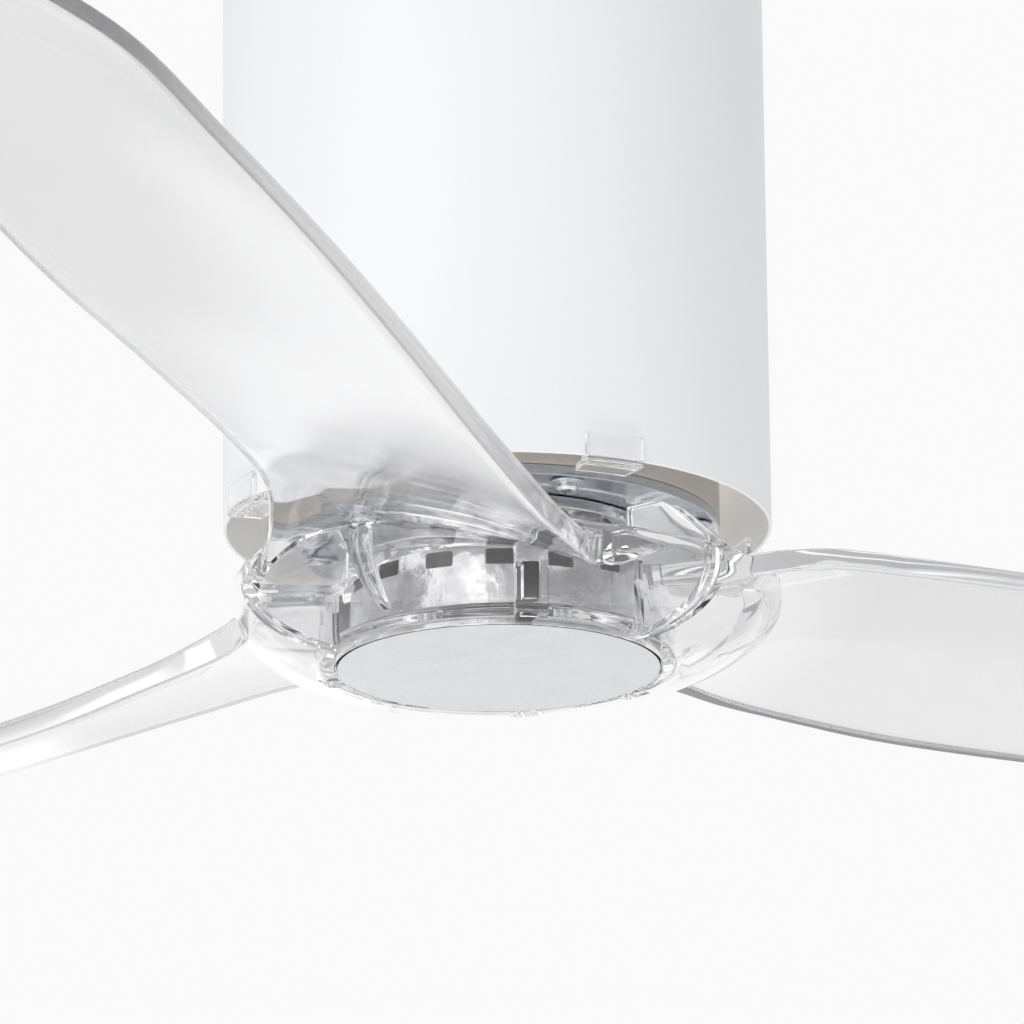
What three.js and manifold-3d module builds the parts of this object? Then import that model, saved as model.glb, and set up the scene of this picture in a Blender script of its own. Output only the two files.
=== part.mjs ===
// Close-to-ceiling fan: a white tube housing against the ceiling, an outer-rotor motor inside its
// lower end, and three clear moulded blades whose roots form a barrel-shaped hub under the rim.
// Millimetres, +Z up. The origin is the centre of the face that meets the ceiling.

import * as THREE from 'three';
import { mergeVertices } from 'three/addons/utils/BufferGeometryUtils.js';
import Module from 'manifold-3d';

const wasm = await Module();
wasm.setup();

// ---- driving dimensions -------------------------------------------------------------------------

const GAP = 0.3;                      // air between neighbouring pieces that touch on the real fan

const SMALL_ROUND = 10;               // sides of screws and holes
const HIDDEN_ROUND = 18;              // sides of small turned pieces inside the tube
const MEDIUM_ROUND = 32;
const SHOWN_ROUND = 45;               // sides of the turned pieces that show
const TUBE_ROUND = 60;

const TUBE_RADIUS = 90;
const TUBE_WALL = 1.2;
const TUBE_EDGE = 0.4;                // chamfer of the lower rim
const TUBE_LENGTH = 240;              // from the ceiling to the open lower rim
const TUBE_TOP_SHADOW = 1;            // the tube stops just short of the ceiling
const TUBE_SCREW_DROP = 11;           // tube screws below the ceiling
const TUBE_SCREW_COUNT = 3;

const PLATE_RADIUS = TUBE_RADIUS - TUBE_WALL - GAP;
const PLATE_THICKNESS = 2.5;
const PLATE_RIM_DEPTH = 20;
const PLATE_RIM_WALL = 2.2;
const CABLE_HOLE_RADIUS = 9;
const CABLE_HOLE_OFFSET = 40;
const ANCHOR_HOLE_RADIUS = 3;
const ANCHOR_HOLE_OFFSET = 66;

const STEM_RADIUS = 11;
const STEM_BORE = 8;
const STEM_TOP_DROP = 8;              // top of the stem below the ceiling
const STEM_FOOT = 4;                  // foot of the stem above the rim plane
const SOCKET_RADIUS = 17;
const SOCKET_FOOT_RADIUS = 30;
const SOCKET_DEPTH = 34;
const PIN_RADIUS = 2.5;
const PIN_DROP = 26;
const M5_SHANK = 2.4;
const M5_HOLE = 2.8;
const M5_HEAD = 4.4;

const MOTOR_RADIUS = 67;
const MOTOR_HEIGHT = 58;              // above the rim plane
const MOTOR_WALL = 2.5;
const COLLAR_RADIUS = 73;             // the motor's wide foot, which the flange closes
const COLLAR_TOP = 17;
const COLLAR_ROUND = 4;
const MAGNET_RADIUS = MOTOR_RADIUS - MOTOR_WALL - GAP;
const MAGNET_THICKNESS = 5;
const STATOR_RADIUS = MAGNET_RADIUS - MAGNET_THICKNESS - 0.7;
const STATOR_TEETH = 12;
const BEARING_RADIUS = 20;
const BEARING_HEIGHT = 8;
const FLANGE_RADIUS = COLLAR_RADIUS;
const FLANGE_UNDERSIDE = -2;          // heights from here on are from the rim plane
const FLANGE_TOP = 1.2;
const FLANGE_SCREW_CIRCLE = 65.7;
const FLANGE_SCREW_COUNT = 6;
const FLANGE_SCREW_TURN = 20;         // degrees from the front, towards +X

const BLADE_COUNT = 3;
const BLADE_TURN = -7.8;              // first blade, degrees from the front, towards +X
const BLADE_REACH = 640;              // sweep radius
const BLADE_ROOT_THICKNESS = 7.6;
const BLADE_TIP_THICKNESS = 4.6;
const BLADE_CAMBER = 4;
const ROOT_SWELL = 0.45;              // the low edge thickens by this share where it meets the hub
const ROOT_SWELL_SPAN = [120, 65];    // from here inwards, and in full from there
const BLADE_ROWS = 24;
const BLADE_COLUMNS = 4;

const HUB_FLOOR = -47;                // underside of the clear ring round the cap
const HUB_FLOOR_RADIUS = 52.5;        // the underside curves up from here
const BELLY_RADIUS = 89.5;            // widest ring of the barrel
const BELLY_HEIGHT = -26;
const LOBE = 3.5;                     // the barrel swells by this much before each blade
const LOBE_TURN = -30;                // degrees from the blade
const LOBE_START = 60;                // the lobes begin at this distance from the axis
const HUB_SKIN = 3.4;
const HUB_BOWL_TOP = -20.5;
const HUB_INNER_RADIUS = 54;
const HUB_INNER_TOP = -24;
const HUB_LAND_TOP = -40.5;           // inner land that the screws clamp
const HUB_LAND_UNDERSIDE = -44.5;
const HUB_LAND_RADIUS = 27;
const SEAM_LOW = -59;                 // each moulding's share of the hub, degrees from its blade
const SEAM_HIGH = 61;
const END_WALL_ANGLES = [-56.7, 58.6];
const END_WALL_THICKNESS = 3.2;
const END_WALL_TOP = -2.8;            // the end walls stand just clear of the flange
const END_WALL_SHOULDER = 70.4;       // and slope down to the belly from here
const END_WALL_ROUND = 5;
const RIB_ANGLE = -22.7;              // crescent rib under the paddle
const RIB_THICKNESS = 3.4;
const RIB_TOP = -13.5;
const RIB_DEPTH = 12;
const RIB_ROUND = 4;
const SLOT_ANGLE = 18;
const SLOT_WIDTH = 5.6;
const SLOT_RIB = 2.6;
const SLOT_DEPTH = 7;
const SUNK = 0.4;                     // a wall's edge sits this far inside the skin it joins
const BLADE_SCREW_CIRCLE = 38;
const BLADE_SCREW_ANGLES = [-24, 36];

const CORE_RADIUS = 47;
const CORE_FOOT_RADIUS = 52;
const CORE_BORE = 24;
const CORE_POCKETS = 15;
const CORE_POCKET_TURN = 8.3;         // first pocket, degrees from the first blade
const CAP_RADIUS = 53;
const CAP_THICKNESS = 1.8;
const CLIP_WIDTH = 19.6;
const CLIP_SHELF_RADIUS = 80.5;
const CLIP_OUTER_LIP = 7.5;           // heights of the lips above the rim
const CLIP_INNER_LIP = 5;
const CLIP_COUNT = 4;
const CLIP_TURN = 24.4;                // first rim clip, degrees from the front, towards +X

// The blade's two long edges, seen with the blade along +X: [out, across, height], root first.
// The high edge leads and flows down into the barrel, and the low edge curls round the hub.
const HIGH_EDGE = [
  [33, -78.8, -33.4], [61, -68.5, -24], [92, -60.5, -16.3], [130, -56, -14.8], [180, -58, -16.5],
  [270, -69, -18.2], [360, -84, -17.6], [450, -95, -14.6], [540, -98, -11.8], [604, -92, -13.5],
  [631, -79, -17.5], [BLADE_REACH, -62, -22.5],
];
const LOW_EDGE = [
  [43.6, 61, -21.6], [59.4, 51, -25.3], [76.5, 43, -30.4], [98, 43, -36], [128, 42.5, -40.8],
  [160, 41, -44.6], [265, 34, -49.8], [360, 26, -50.9], [450, 16, -50.2], [540, 2, -47.7],
  [608, -12, -43.5], [632, -27, -38], [BLADE_REACH, -42, -30.5],
];

// ---- colours and finishes -----------------------------------------------------------------------

const finish = (color, roughness, metalness, extra = {}) =>
  new THREE.MeshStandardMaterial({ color, roughness, metalness, ...extra });

const WHITE_PAINT = finish(0xf2f3f4, 0.25, 0);
const CLEAR_PLASTIC = finish(0xe9eaec, 0.05, 0, { transparent: true, opacity: 0.35 });
const SATIN_CAP = finish(0xdcdfe2, 0.45, 0.3);
const ZINC = finish(0x9aa3ad, 0.35, 0.9);
const CAST_ALUMINIUM = finish(0xc2c4c6, 0.3, 0.95);
const DARK_PAINT = finish(0x4a433d, 0.5, 0.2);
const STEEL = finish(0xa9abad, 0.35, 0.9);
const IRON = finish(0x55585c, 0.55, 0.8);
const COPPER = finish(0xa8623a, 0.4, 0.8);
const FERRITE = finish(0x2c2d30, 0.7, 0.1);
const RUBBER = finish(0x17181a, 0.8, 0);
const GREY_PLASTIC = finish(0xb9bcbf, 0.5, 0);
const WHITE_PLASTIC = finish(0xe4e4e0, 0.5, 0);
const BOARD_GREEN = finish(0x2f5a3c, 0.5, 0);

// ---- solids -------------------------------------------------------------------------------------

const radians = THREE.MathUtils.degToRad;

function solidFrom(geometry) {
  const bare = geometry.clone();
  for (const name of Object.keys(bare.attributes)) {
    if (name !== 'position') bare.deleteAttribute(name);
  }
  const merged = mergeVertices(bare, 1e-4);
  const index = merged.index.array;
  const place = merged.attributes.position;
  const triangles = [];
  let volume = 0;
  const [a, b, c] = [new THREE.Vector3(), new THREE.Vector3(), new THREE.Vector3()];
  for (let i = 0; i < index.length; i += 3) {
    const [p, q, r] = [index[i], index[i + 1], index[i + 2]];
    if (p === q || q === r || r === p) continue;
    triangles.push(p, q, r);
    a.fromBufferAttribute(place, p);
    b.fromBufferAttribute(place, q);
    c.fromBufferAttribute(place, r);
    volume += a.dot(b.cross(c));
  }
  if (volume < 0) triangles.reverse();
  return new wasm.Manifold(new wasm.Mesh({
    numProp: 3,
    vertProperties: Float32Array.from(place.array),
    triVerts: Uint32Array.from(triangles),
  }));
}

function geometryFrom(solid) {
  const mesh = solid.getMesh();
  const geometry = new THREE.BufferGeometry();
  geometry.setAttribute('position', new THREE.BufferAttribute(mesh.vertProperties, 3));
  geometry.setIndex(new THREE.BufferAttribute(mesh.triVerts, 1));
  const faceted = geometry.toNonIndexed();
  faceted.computeVertexNormals();
  return faceted;
}

const join = (...solids) => solids.reduce((whole, next) => whole.add(next));
const cut = (solid, ...tools) => tools.reduce((rest, tool) => rest.subtract(tool), solid);

// A profile of [radius, height] points turned about Z; it starts and ends on the axis or closes.
function turned(profile, segments, closed = true) {
  const points = profile.map(([radius, height]) => new THREE.Vector2(radius, height));
  if (closed) points.push(points[0].clone());
  return solidFrom(new THREE.LatheGeometry(points, segments).rotateX(Math.PI / 2));
}

function tube(outer, inner, low, high, segments = MEDIUM_ROUND) {
  return turned([[inner, low], [outer, low], [outer, high], [inner, high]], segments);
}

function rod(radius, low, high, { x = 0, y = 0, segments = SMALL_ROUND } = {}) {
  const geometry = new THREE.CylinderGeometry(radius, radius, high - low, segments);
  geometry.rotateX(Math.PI / 2).translate(x, y, (low + high) / 2);
  return solidFrom(geometry);
}

// A round bar along +X from one distance to another, turned to an angle, at one height.
function radialRod(radius, near, far, height, angle, segments = SMALL_ROUND) {
  const geometry = new THREE.CylinderGeometry(radius, radius, far - near, segments);
  geometry.rotateZ(-Math.PI / 2).translate((near + far) / 2, 0, height).rotateZ(angle);
  return solidFrom(geometry);
}

function block([x0, x1], [y0, y1], [z0, z1], angle = 0) {
  const geometry = new THREE.BoxGeometry(x1 - x0, y1 - y0, z1 - z0);
  geometry.translate((x0 + x1) / 2, (y0 + y1) / 2, (z0 + z1) / 2).rotateZ(angle);
  return solidFrom(geometry);
}

function slabOf(shape, low, high) {
  const geometry = new THREE.ExtrudeGeometry(shape, { depth: high - low, bevelEnabled: false });
  return solidFrom(geometry.translate(0, 0, low));
}

const onCircle = (radius, angle) => ({ x: radius * Math.cos(angle), y: radius * Math.sin(angle) });
const spread = (count, turn = 0) => Array.from({ length: count }, (_, i) => turn + (i * 2 * Math.PI) / count);

// Angles measured from the front of the fan towards +X, as an angle about Z.
const fromFront = (degrees) => radians(degrees - 90);

// ---- assembly -----------------------------------------------------------------------------------

const fan = new THREE.Group();
const stationary = new THREE.Group();
const rimLevel = new THREE.Group();
rimLevel.position.z = -TUBE_LENGTH;
const spinning = new THREE.Group();
spinning.position.z = -TUBE_LENGTH;
fan.add(stationary, rimLevel, spinning);

function place(group, name, solid, material, { turn = 0, x = 0, y = 0 } = {}) {
  const mesh = new THREE.Mesh(geometryFrom(solid), material);
  mesh.name = name;
  mesh.rotation.z = turn;
  mesh.position.set(x, y, 0);
  group.add(mesh);
}

// ---- ceiling fixing -----------------------------------------------------------------------------

function ceilingPlate() {
  const rimInner = PLATE_RADIUS - PLATE_RIM_WALL;
  const cup = turned([
    [0, 0], [PLATE_RADIUS, 0], [PLATE_RADIUS, -PLATE_RIM_DEPTH], [rimInner, -PLATE_RIM_DEPTH],
    [rimInner, -PLATE_THICKNESS], [0, -PLATE_THICKNESS],
  ], MEDIUM_ROUND, false);
  const through = [-PLATE_THICKNESS - 1, 1];
  const holes = [rod(CABLE_HOLE_RADIUS, ...through, { y: CABLE_HOLE_OFFSET, segments: HIDDEN_ROUND })];
  for (const angle of spread(4, Math.PI / 4)) {
    holes.push(rod(ANCHOR_HOLE_RADIUS, ...through, onCircle(ANCHOR_HOLE_OFFSET, angle)));
  }
  for (const angle of spread(TUBE_SCREW_COUNT, Math.PI / 2)) {
    holes.push(radialRod(2, rimInner - 2, PLATE_RADIUS + 2, -TUBE_SCREW_DROP, angle));
  }
  for (const angle of spread(3, Math.PI / 6)) {
    holes.push(rod(M5_HOLE, ...through, onCircle(SOCKET_SCREW_CIRCLE, angle)));
  }
  for (const y of BRACKET_SCREW_Y) {
    holes.push(rod(2.1, ...through, { x: BRACKET_SCREW_X, y }));
  }
  return cut(cup, ...holes);
}

const SOCKET_SCREW_CIRCLE = 23.5;
const SOCKET_TOP = -PLATE_THICKNESS - GAP;
const SOCKET_FOOT = SOCKET_TOP - 4;

function stemSocket() {
  const bore = STEM_RADIUS + GAP;
  const body = turned([
    [bore, SOCKET_TOP], [SOCKET_FOOT_RADIUS, SOCKET_TOP], [SOCKET_FOOT_RADIUS, SOCKET_FOOT],
    [SOCKET_RADIUS + 2, SOCKET_FOOT], [SOCKET_RADIUS, SOCKET_FOOT - 2],
    [SOCKET_RADIUS, -SOCKET_DEPTH], [bore, -SOCKET_DEPTH],
  ], HIDDEN_ROUND);
  const holes = spread(3, Math.PI / 6).map((angle) =>
    rod(M5_HOLE, SOCKET_FOOT - 1, 0, onCircle(SOCKET_SCREW_CIRCLE, angle)));
  holes.push(radialRod(PIN_RADIUS + GAP, -SOCKET_RADIUS - 5, SOCKET_RADIUS + 5, -PIN_DROP, 0));
  return cut(body, ...holes);
}

function socketScrew() {
  const head = SOCKET_FOOT - GAP;
  return turned([
    [0, head - 3.2], [M5_HEAD, head - 3.2], [M5_HEAD, head], [M5_SHANK, head], [M5_SHANK, -1], [0, -1],
  ], SMALL_ROUND, false);
}

function motorStem() {
  const top = -STEM_TOP_DROP;
  const foot = -TUBE_LENGTH + STEM_FOOT;
  const pipe = tube(STEM_RADIUS, STEM_BORE, foot, top, HIDDEN_ROUND);
  return cut(
    pipe,
    radialRod(PIN_RADIUS + GAP, -STEM_RADIUS - 5, STEM_RADIUS + 5, -PIN_DROP, 0),
    radialRod(4, 0, STEM_RADIUS + 5, -TUBE_LENGTH + MOTOR_HEIGHT + 14, Math.PI / 2),
  );
}

function stemPin() {
  const headRadius = 4.6;
  const near = -SOCKET_RADIUS - 4;
  const far = SOCKET_RADIUS + 5;
  const head = radialRod(headRadius, near - 3, near + 0.5, -PIN_DROP, 0, 6);
  return join(head, radialRod(PIN_RADIUS, near, far, -PIN_DROP, 0));
}

function pinClip() {
  const near = SOCKET_RADIUS + 1;
  const ring = radialRod(5, near, near + 1.2, -PIN_DROP, 0);
  return cut(ring, radialRod(PIN_RADIUS + GAP, near - 1, near + 3, -PIN_DROP, 0));
}

// ---- wiring and control -------------------------------------------------------------------------

const BRACKET_X = 33;
const BRACKET_WALL = 1.6;
const BRACKET_SCREW_X = 44;
const BRACKET_SCREW_Y = [-15, 15];
const BRACKET_TOP = -PLATE_THICKNESS - GAP;
const BRACKET_FOOT = -122;
const CASE_NEAR = BRACKET_X + BRACKET_WALL + GAP;
const CASE_FAR = 60;
const CASE_HALF_WIDTH = 23;
const CASE_SPAN = [-118, -18];
const CASE_WALL = 1.8;

function controlBracket() {
  const half = CASE_HALF_WIDTH + 2;
  const profile = new THREE.Shape();
  const foot = BRACKET_TOP - BRACKET_WALL;
  profile.moveTo(BRACKET_X, BRACKET_FOOT);
  profile.lineTo(BRACKET_X + BRACKET_WALL, BRACKET_FOOT);
  profile.lineTo(BRACKET_X + BRACKET_WALL, foot);
  profile.lineTo(BRACKET_SCREW_X + 6, foot);
  profile.lineTo(BRACKET_SCREW_X + 6, BRACKET_TOP);
  profile.lineTo(BRACKET_X, BRACKET_TOP);
  const geometry = new THREE.ExtrudeGeometry(profile, { depth: 2 * half, bevelEnabled: false });
  geometry.rotateX(Math.PI / 2).translate(0, half, 0);
  const holes = BRACKET_SCREW_Y.map((y) =>
    rod(2.1, foot - 1, 0, { x: BRACKET_SCREW_X, y }));
  return cut(solidFrom(geometry), ...holes);
}

function bracketScrew() {
  const head = BRACKET_TOP - BRACKET_WALL - GAP;
  const body = [[0, head - 2.4], [3.6, head - 2.4], [3.6, head], [1.8, head], [1.8, -0.6], [0, -0.6]];
  return turned(body, SMALL_ROUND, false);
}

function controlCase() {
  const [low, high] = CASE_SPAN;
  const half = CASE_HALF_WIDTH;
  const shell = block([CASE_NEAR, CASE_FAR], [-half, half], [low, high]);
  const hollow = block(
    [CASE_NEAR + CASE_WALL, CASE_FAR + 1],
    [-half + CASE_WALL, half - CASE_WALL],
    [low + CASE_WALL, high - CASE_WALL],
  );
  const cableWay = block([CASE_NEAR + 8, CASE_FAR - 6], [-8, 8], [high - 5, high + 1]);
  return cut(shell, hollow, cableWay);
}

function controlLid() {
  const [low, high] = CASE_SPAN;
  const half = CASE_HALF_WIDTH;
  const plate = block([CASE_FAR + GAP, CASE_FAR + 2.3], [-half, half], [low, high]);
  const inset = CASE_WALL + GAP;
  const lip = cut(
    block([CASE_FAR - 3, CASE_FAR + 1], [-half + inset, half - inset], [low + inset, high - inset]),
    block(
      [CASE_FAR - 4, CASE_FAR + GAP],
      [-half + inset + 1.5, half - inset - 1.5],
      [low + inset + 1.5, high - inset - 1.5],
    ),
  );
  return join(plate, lip);
}

function controlBoard() {
  const near = CASE_NEAR + CASE_WALL + GAP;
  const board = block([near, near + 1.6], [-19, 19], [-112, -26]);
  const parts = [
    block([near + 1, near + 12], [-15, -3], [-60, -44]),
    block([near + 1, near + 9], [2, 16], [-70, -40]),
    block([near + 1, near + 7], [-14, 14], [-106, -92]),
    radialRod(5.5, near + 1, near + 14, -78, 0),
  ];
  return join(board, ...parts);
}

function terminalBlock() {
  const [far, near] = [-52, -36];
  const half = 18;
  const body = block([far, near], [-half, half], [-20, BRACKET_TOP]);
  const holes = [];
  for (let y = -half + 6; y <= half - 6; y += 6) {
    holes.push(rod(1.8, -22, -12, { x: (far + near) / 2, y, segments: 8 }));
  }
  return cut(body, ...holes);
}

// ---- tube housing -------------------------------------------------------------------------------

function tubeHousing() {
  const inner = TUBE_RADIUS - TUBE_WALL;
  const middle = TUBE_RADIUS - TUBE_WALL / 2;
  const flat = TUBE_WALL / 2 - TUBE_EDGE;
  const bevelTop = -TUBE_LENGTH + TUBE_EDGE;
  const shell = turned([
    [inner, bevelTop], [middle - flat, -TUBE_LENGTH], [middle + flat, -TUBE_LENGTH],
    [TUBE_RADIUS, bevelTop], [TUBE_RADIUS, -TUBE_TOP_SHADOW], [inner, -TUBE_TOP_SHADOW],
  ], TUBE_ROUND);
  const holes = spread(TUBE_SCREW_COUNT, Math.PI / 2).map((angle) =>
    radialRod(2, inner - 3, TUBE_RADIUS + 3, -TUBE_SCREW_DROP, angle));
  return cut(shell, ...holes);
}

function tubeScrew() {
  const head = TUBE_RADIUS + GAP;
  const inward = PLATE_RADIUS - PLATE_RIM_WALL - 2;
  const profile = [[0, inward], [1.7, inward], [1.7, head], [3.9, head], [3.4, head + 1.6], [0, head + 2.2]];
  const points = profile.map(([radius, along]) => new THREE.Vector2(radius, along));
  const geometry = new THREE.LatheGeometry(points, SMALL_ROUND).rotateZ(-Math.PI / 2);
  return solidFrom(geometry.translate(0, 0, -TUBE_SCREW_DROP));
}

// A clear clip hooked over the rim: a tall lip outside, a shelf under the rim, a short lip inside.
function rimClip() {
  const outer = TUBE_RADIUS + GAP;
  const inner = TUBE_RADIUS - TUBE_WALL - GAP;
  const shelf = [-GAP - 2.5, -GAP];
  const lip = 2;
  const shape = new THREE.Shape();
  shape.moveTo(CLIP_SHELF_RADIUS, shelf[0]);
  shape.lineTo(outer + lip, shelf[0]);
  shape.lineTo(outer + lip, CLIP_OUTER_LIP);
  shape.lineTo(outer, CLIP_OUTER_LIP);
  shape.lineTo(outer, shelf[1]);
  shape.lineTo(inner, shelf[1]);
  shape.lineTo(inner, CLIP_INNER_LIP);
  shape.lineTo(inner - lip, CLIP_INNER_LIP);
  shape.lineTo(inner - lip, shelf[1]);
  shape.lineTo(CLIP_SHELF_RADIUS, shelf[1]);
  const geometry = new THREE.ExtrudeGeometry(shape, { depth: CLIP_WIDTH, bevelEnabled: false });
  geometry.rotateX(Math.PI / 2).translate(0, CLIP_WIDTH / 2, 0);
  const housingWall = tube(outer, inner, -GAP, CLIP_OUTER_LIP + 1, 2 * TUBE_ROUND);
  return cut(solidFrom(geometry), housingWall);
}

// ---- motor: stationary side ---------------------------------------------------------------------

const LOWER_BEARING = 7;
const UPPER_BEARING = MOTOR_HEIGHT - 6;

function bearing(low) {
  const high = low + BEARING_HEIGHT;
  const inner = STEM_RADIUS + GAP;
  const race = 2.6;
  return turned([
    [inner, low], [inner + race, low], [inner + race, low + 1], [BEARING_RADIUS - race, low + 1],
    [BEARING_RADIUS - race, low], [BEARING_RADIUS, low], [BEARING_RADIUS, high], [inner, high],
  ], HIDDEN_ROUND);
}

// Laminated iron: a yoke round the stem with T-shaped teeth.
function statorCore() {
  const shape = new THREE.Shape();
  const yoke = 34;
  const toothHalf = 4.6;
  const shoe = 5.5;
  const pitch = Math.PI / STATOR_TEETH;
  const points = [];
  for (const middle of spread(STATOR_TEETH)) {
    const out = (radius, across) => {
      const sine = Math.sin(middle);
      const cosine = Math.cos(middle);
      return [radius * cosine - across * sine, radius * sine + across * cosine];
    };
    const tip = (STATOR_RADIUS - 1) * Math.sin(pitch * 0.86);
    const tipRadius = STATOR_RADIUS * Math.cos(pitch * 0.86);
    points.push(out(yoke, -toothHalf), out(STATOR_RADIUS - shoe, -toothHalf), out(tipRadius - 2, -tip));
    points.push(out(tipRadius, -tip), out(STATOR_RADIUS, 0), out(tipRadius, tip));
    points.push(out(tipRadius - 2, tip), out(STATOR_RADIUS - shoe, toothHalf), out(yoke, toothHalf));
  }
  points.forEach(([x, y], i) => (i ? shape.lineTo(x, y) : shape.moveTo(x, y)));
  const core = slabOf(shape, 18, 44);
  return cut(core, rod(STEM_RADIUS + GAP, 10, 50, { segments: HIDDEN_ROUND }));
}

function winding(low, high) {
  const [inner, outer, round] = [36, 51, 1.6];
  return turned([
    [inner, low + round], [inner + round, low], [outer - round, low], [outer, low + round],
    [outer, high - round], [outer - round, high], [inner + round, high], [inner, high - round],
  ], HIDDEN_ROUND);
}

// ---- motor: spinning side -----------------------------------------------------------------------

const CASE_FOOT = 1.5;
const CASE_LIP_RADIUS = 59;
const CASE_LIP_TOP = 5;
const CASE_ROUND = 4;

// A drawn pot with a wide collar at its foot; a cup in its roof holds the upper bearing.
function motorCase() {
  const inner = MOTOR_RADIUS - MOTOR_WALL;
  const cup = BEARING_RADIUS + GAP;
  const boss = cup + 3;
  const roof = MOTOR_HEIGHT - MOTOR_WALL;
  const seat = roof - 4;
  const mouth = STEM_RADIUS + 1.5;
  const body = turned([
    [CASE_LIP_RADIUS, CASE_FOOT], [COLLAR_RADIUS, CASE_FOOT], [COLLAR_RADIUS, COLLAR_TOP - COLLAR_ROUND],
    [COLLAR_RADIUS - COLLAR_ROUND * 0.3, COLLAR_TOP - COLLAR_ROUND * 0.3],
    [COLLAR_RADIUS - COLLAR_ROUND, COLLAR_TOP], [MOTOR_RADIUS, COLLAR_TOP],
    [MOTOR_RADIUS, MOTOR_HEIGHT - CASE_ROUND], [MOTOR_RADIUS - CASE_ROUND, MOTOR_HEIGHT],
    [boss, MOTOR_HEIGHT], [boss, MOTOR_HEIGHT + 4.5], [mouth, MOTOR_HEIGHT + 4.5],
    [mouth, MOTOR_HEIGHT + 2.3], [cup, MOTOR_HEIGHT + 2.3], [cup, seat], [boss, seat], [boss, roof],
    [inner, roof], [inner, CASE_LIP_TOP], [CASE_LIP_RADIUS, CASE_LIP_TOP],
  ], MEDIUM_ROUND);
  const holes = spread(FLANGE_SCREW_COUNT, fromFront(FLANGE_SCREW_TURN)).map((angle) =>
    rod(M5_HOLE, CASE_FOOT - 1, CASE_LIP_TOP + 1, onCircle(FLANGE_SCREW_CIRCLE, angle)));
  return cut(body, ...holes);
}

function motorFlange() {
  const cup = BEARING_RADIUS + GAP;
  const pit = STEM_RADIUS + 2;
  const rimBand = FLANGE_RADIUS - 1.4;
  const body = turned([
    [0, FLANGE_UNDERSIDE], [60, FLANGE_UNDERSIDE], [60, FLANGE_UNDERSIDE + 0.6],
    [rimBand, FLANGE_UNDERSIDE + 0.6], [rimBand + 0.6, FLANGE_UNDERSIDE],
    [FLANGE_RADIUS, FLANGE_UNDERSIDE], [FLANGE_RADIUS, FLANGE_TOP], [cup + 3.5, FLANGE_TOP],
    [cup + 3.5, LOWER_BEARING + BEARING_HEIGHT], [cup, LOWER_BEARING + BEARING_HEIGHT],
    [cup, LOWER_BEARING - GAP], [pit, LOWER_BEARING - GAP], [pit, FLANGE_TOP], [0, FLANGE_TOP],
  ], SHOWN_ROUND, false);
  const holes = spread(FLANGE_SCREW_COUNT, fromFront(FLANGE_SCREW_TURN)).map((angle) =>
    rod(M5_HOLE, -5, 4, onCircle(FLANGE_SCREW_CIRCLE, angle)));
  for (const angle of spread(3, fromFront(0))) {
    holes.push(rod(M5_HOLE, -5, CORE_SCREW_TIP + GAP, onCircle(CORE_SCREW_CIRCLE, angle)));
  }
  return cut(body, ...holes);
}

function flangeScrew() {
  const seat = FLANGE_UNDERSIDE + 0.6 - GAP;
  return turned([
    [0, seat - 3.4], [2.6, seat - 3.4], [3.9, seat - 2.6], [3.9, seat - 0.9], [5.6, seat - 0.9],
    [5.6, seat], [M5_SHANK, seat], [M5_SHANK, 4.6], [0, 4.6],
  ], SMALL_ROUND, false);
}

// ---- hub core: the cast spider that carries the blades ------------------------------------------

const CORE_TOP = FLANGE_UNDERSIDE - GAP;
const CORE_UNDERSIDE = HUB_LAND_TOP + GAP;
const CORE_BORE_ROOF = -12;
const CORE_SCREW_CIRCLE = 16.8;
const CORE_SCREW_TIP = 4;
const BLADE_SCREW_TIP = -26;

function hubCore() {
  const body = turned([
    [0, CORE_BORE_ROOF], [CORE_BORE, CORE_BORE_ROOF], [CORE_BORE, CORE_UNDERSIDE],
    [CORE_RADIUS - 0.8, CORE_UNDERSIDE], [CORE_RADIUS, CORE_UNDERSIDE + 0.8], [CORE_RADIUS, -8],
    [CORE_FOOT_RADIUS, -6], [CORE_FOOT_RADIUS, CORE_TOP], [0, CORE_TOP],
  ], MEDIUM_ROUND, false);
  const cuts = spread(3, fromFront(0)).map((angle) =>
    rod(M5_HOLE, CORE_BORE_ROOF - 2, 0, onCircle(CORE_SCREW_CIRCLE, angle)));
  for (const blade of spread(BLADE_COUNT, fromFront(BLADE_TURN))) {
    for (const offset of BLADE_SCREW_ANGLES) {
      const spot = onCircle(BLADE_SCREW_CIRCLE, blade + radians(offset));
      cuts.push(rod(M5_HOLE, CORE_UNDERSIDE - 2, BLADE_SCREW_TIP + GAP, spot));
    }
  }
  for (const angle of spread(CORE_POCKETS, fromFront(BLADE_TURN + CORE_POCKET_TURN))) {
    cuts.push(block([CORE_RADIUS - 4, CORE_RADIUS + 5], [-4.6, 4.6], [-24.2, -18.8], angle));
    cuts.push(block([CORE_RADIUS - 3, CORE_RADIUS + 9], [-4, 4], [-14, -7], angle));
  }
  return cut(body, ...cuts);
}

function coreScrew() {
  const seat = CORE_BORE_ROOF - GAP;
  return turned([
    [0, seat - 3.2], [M5_HEAD, seat - 3.2], [M5_HEAD, seat], [M5_SHANK, seat],
    [M5_SHANK, CORE_SCREW_TIP], [0, CORE_SCREW_TIP],
  ], SMALL_ROUND, false);
}

// ---- clear blade moulding -----------------------------------------------------------------------

const curveThrough = (points) =>
  new THREE.CatmullRomCurve3(points.map((p) => new THREE.Vector3(...p)), false, 'centripetal');

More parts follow.
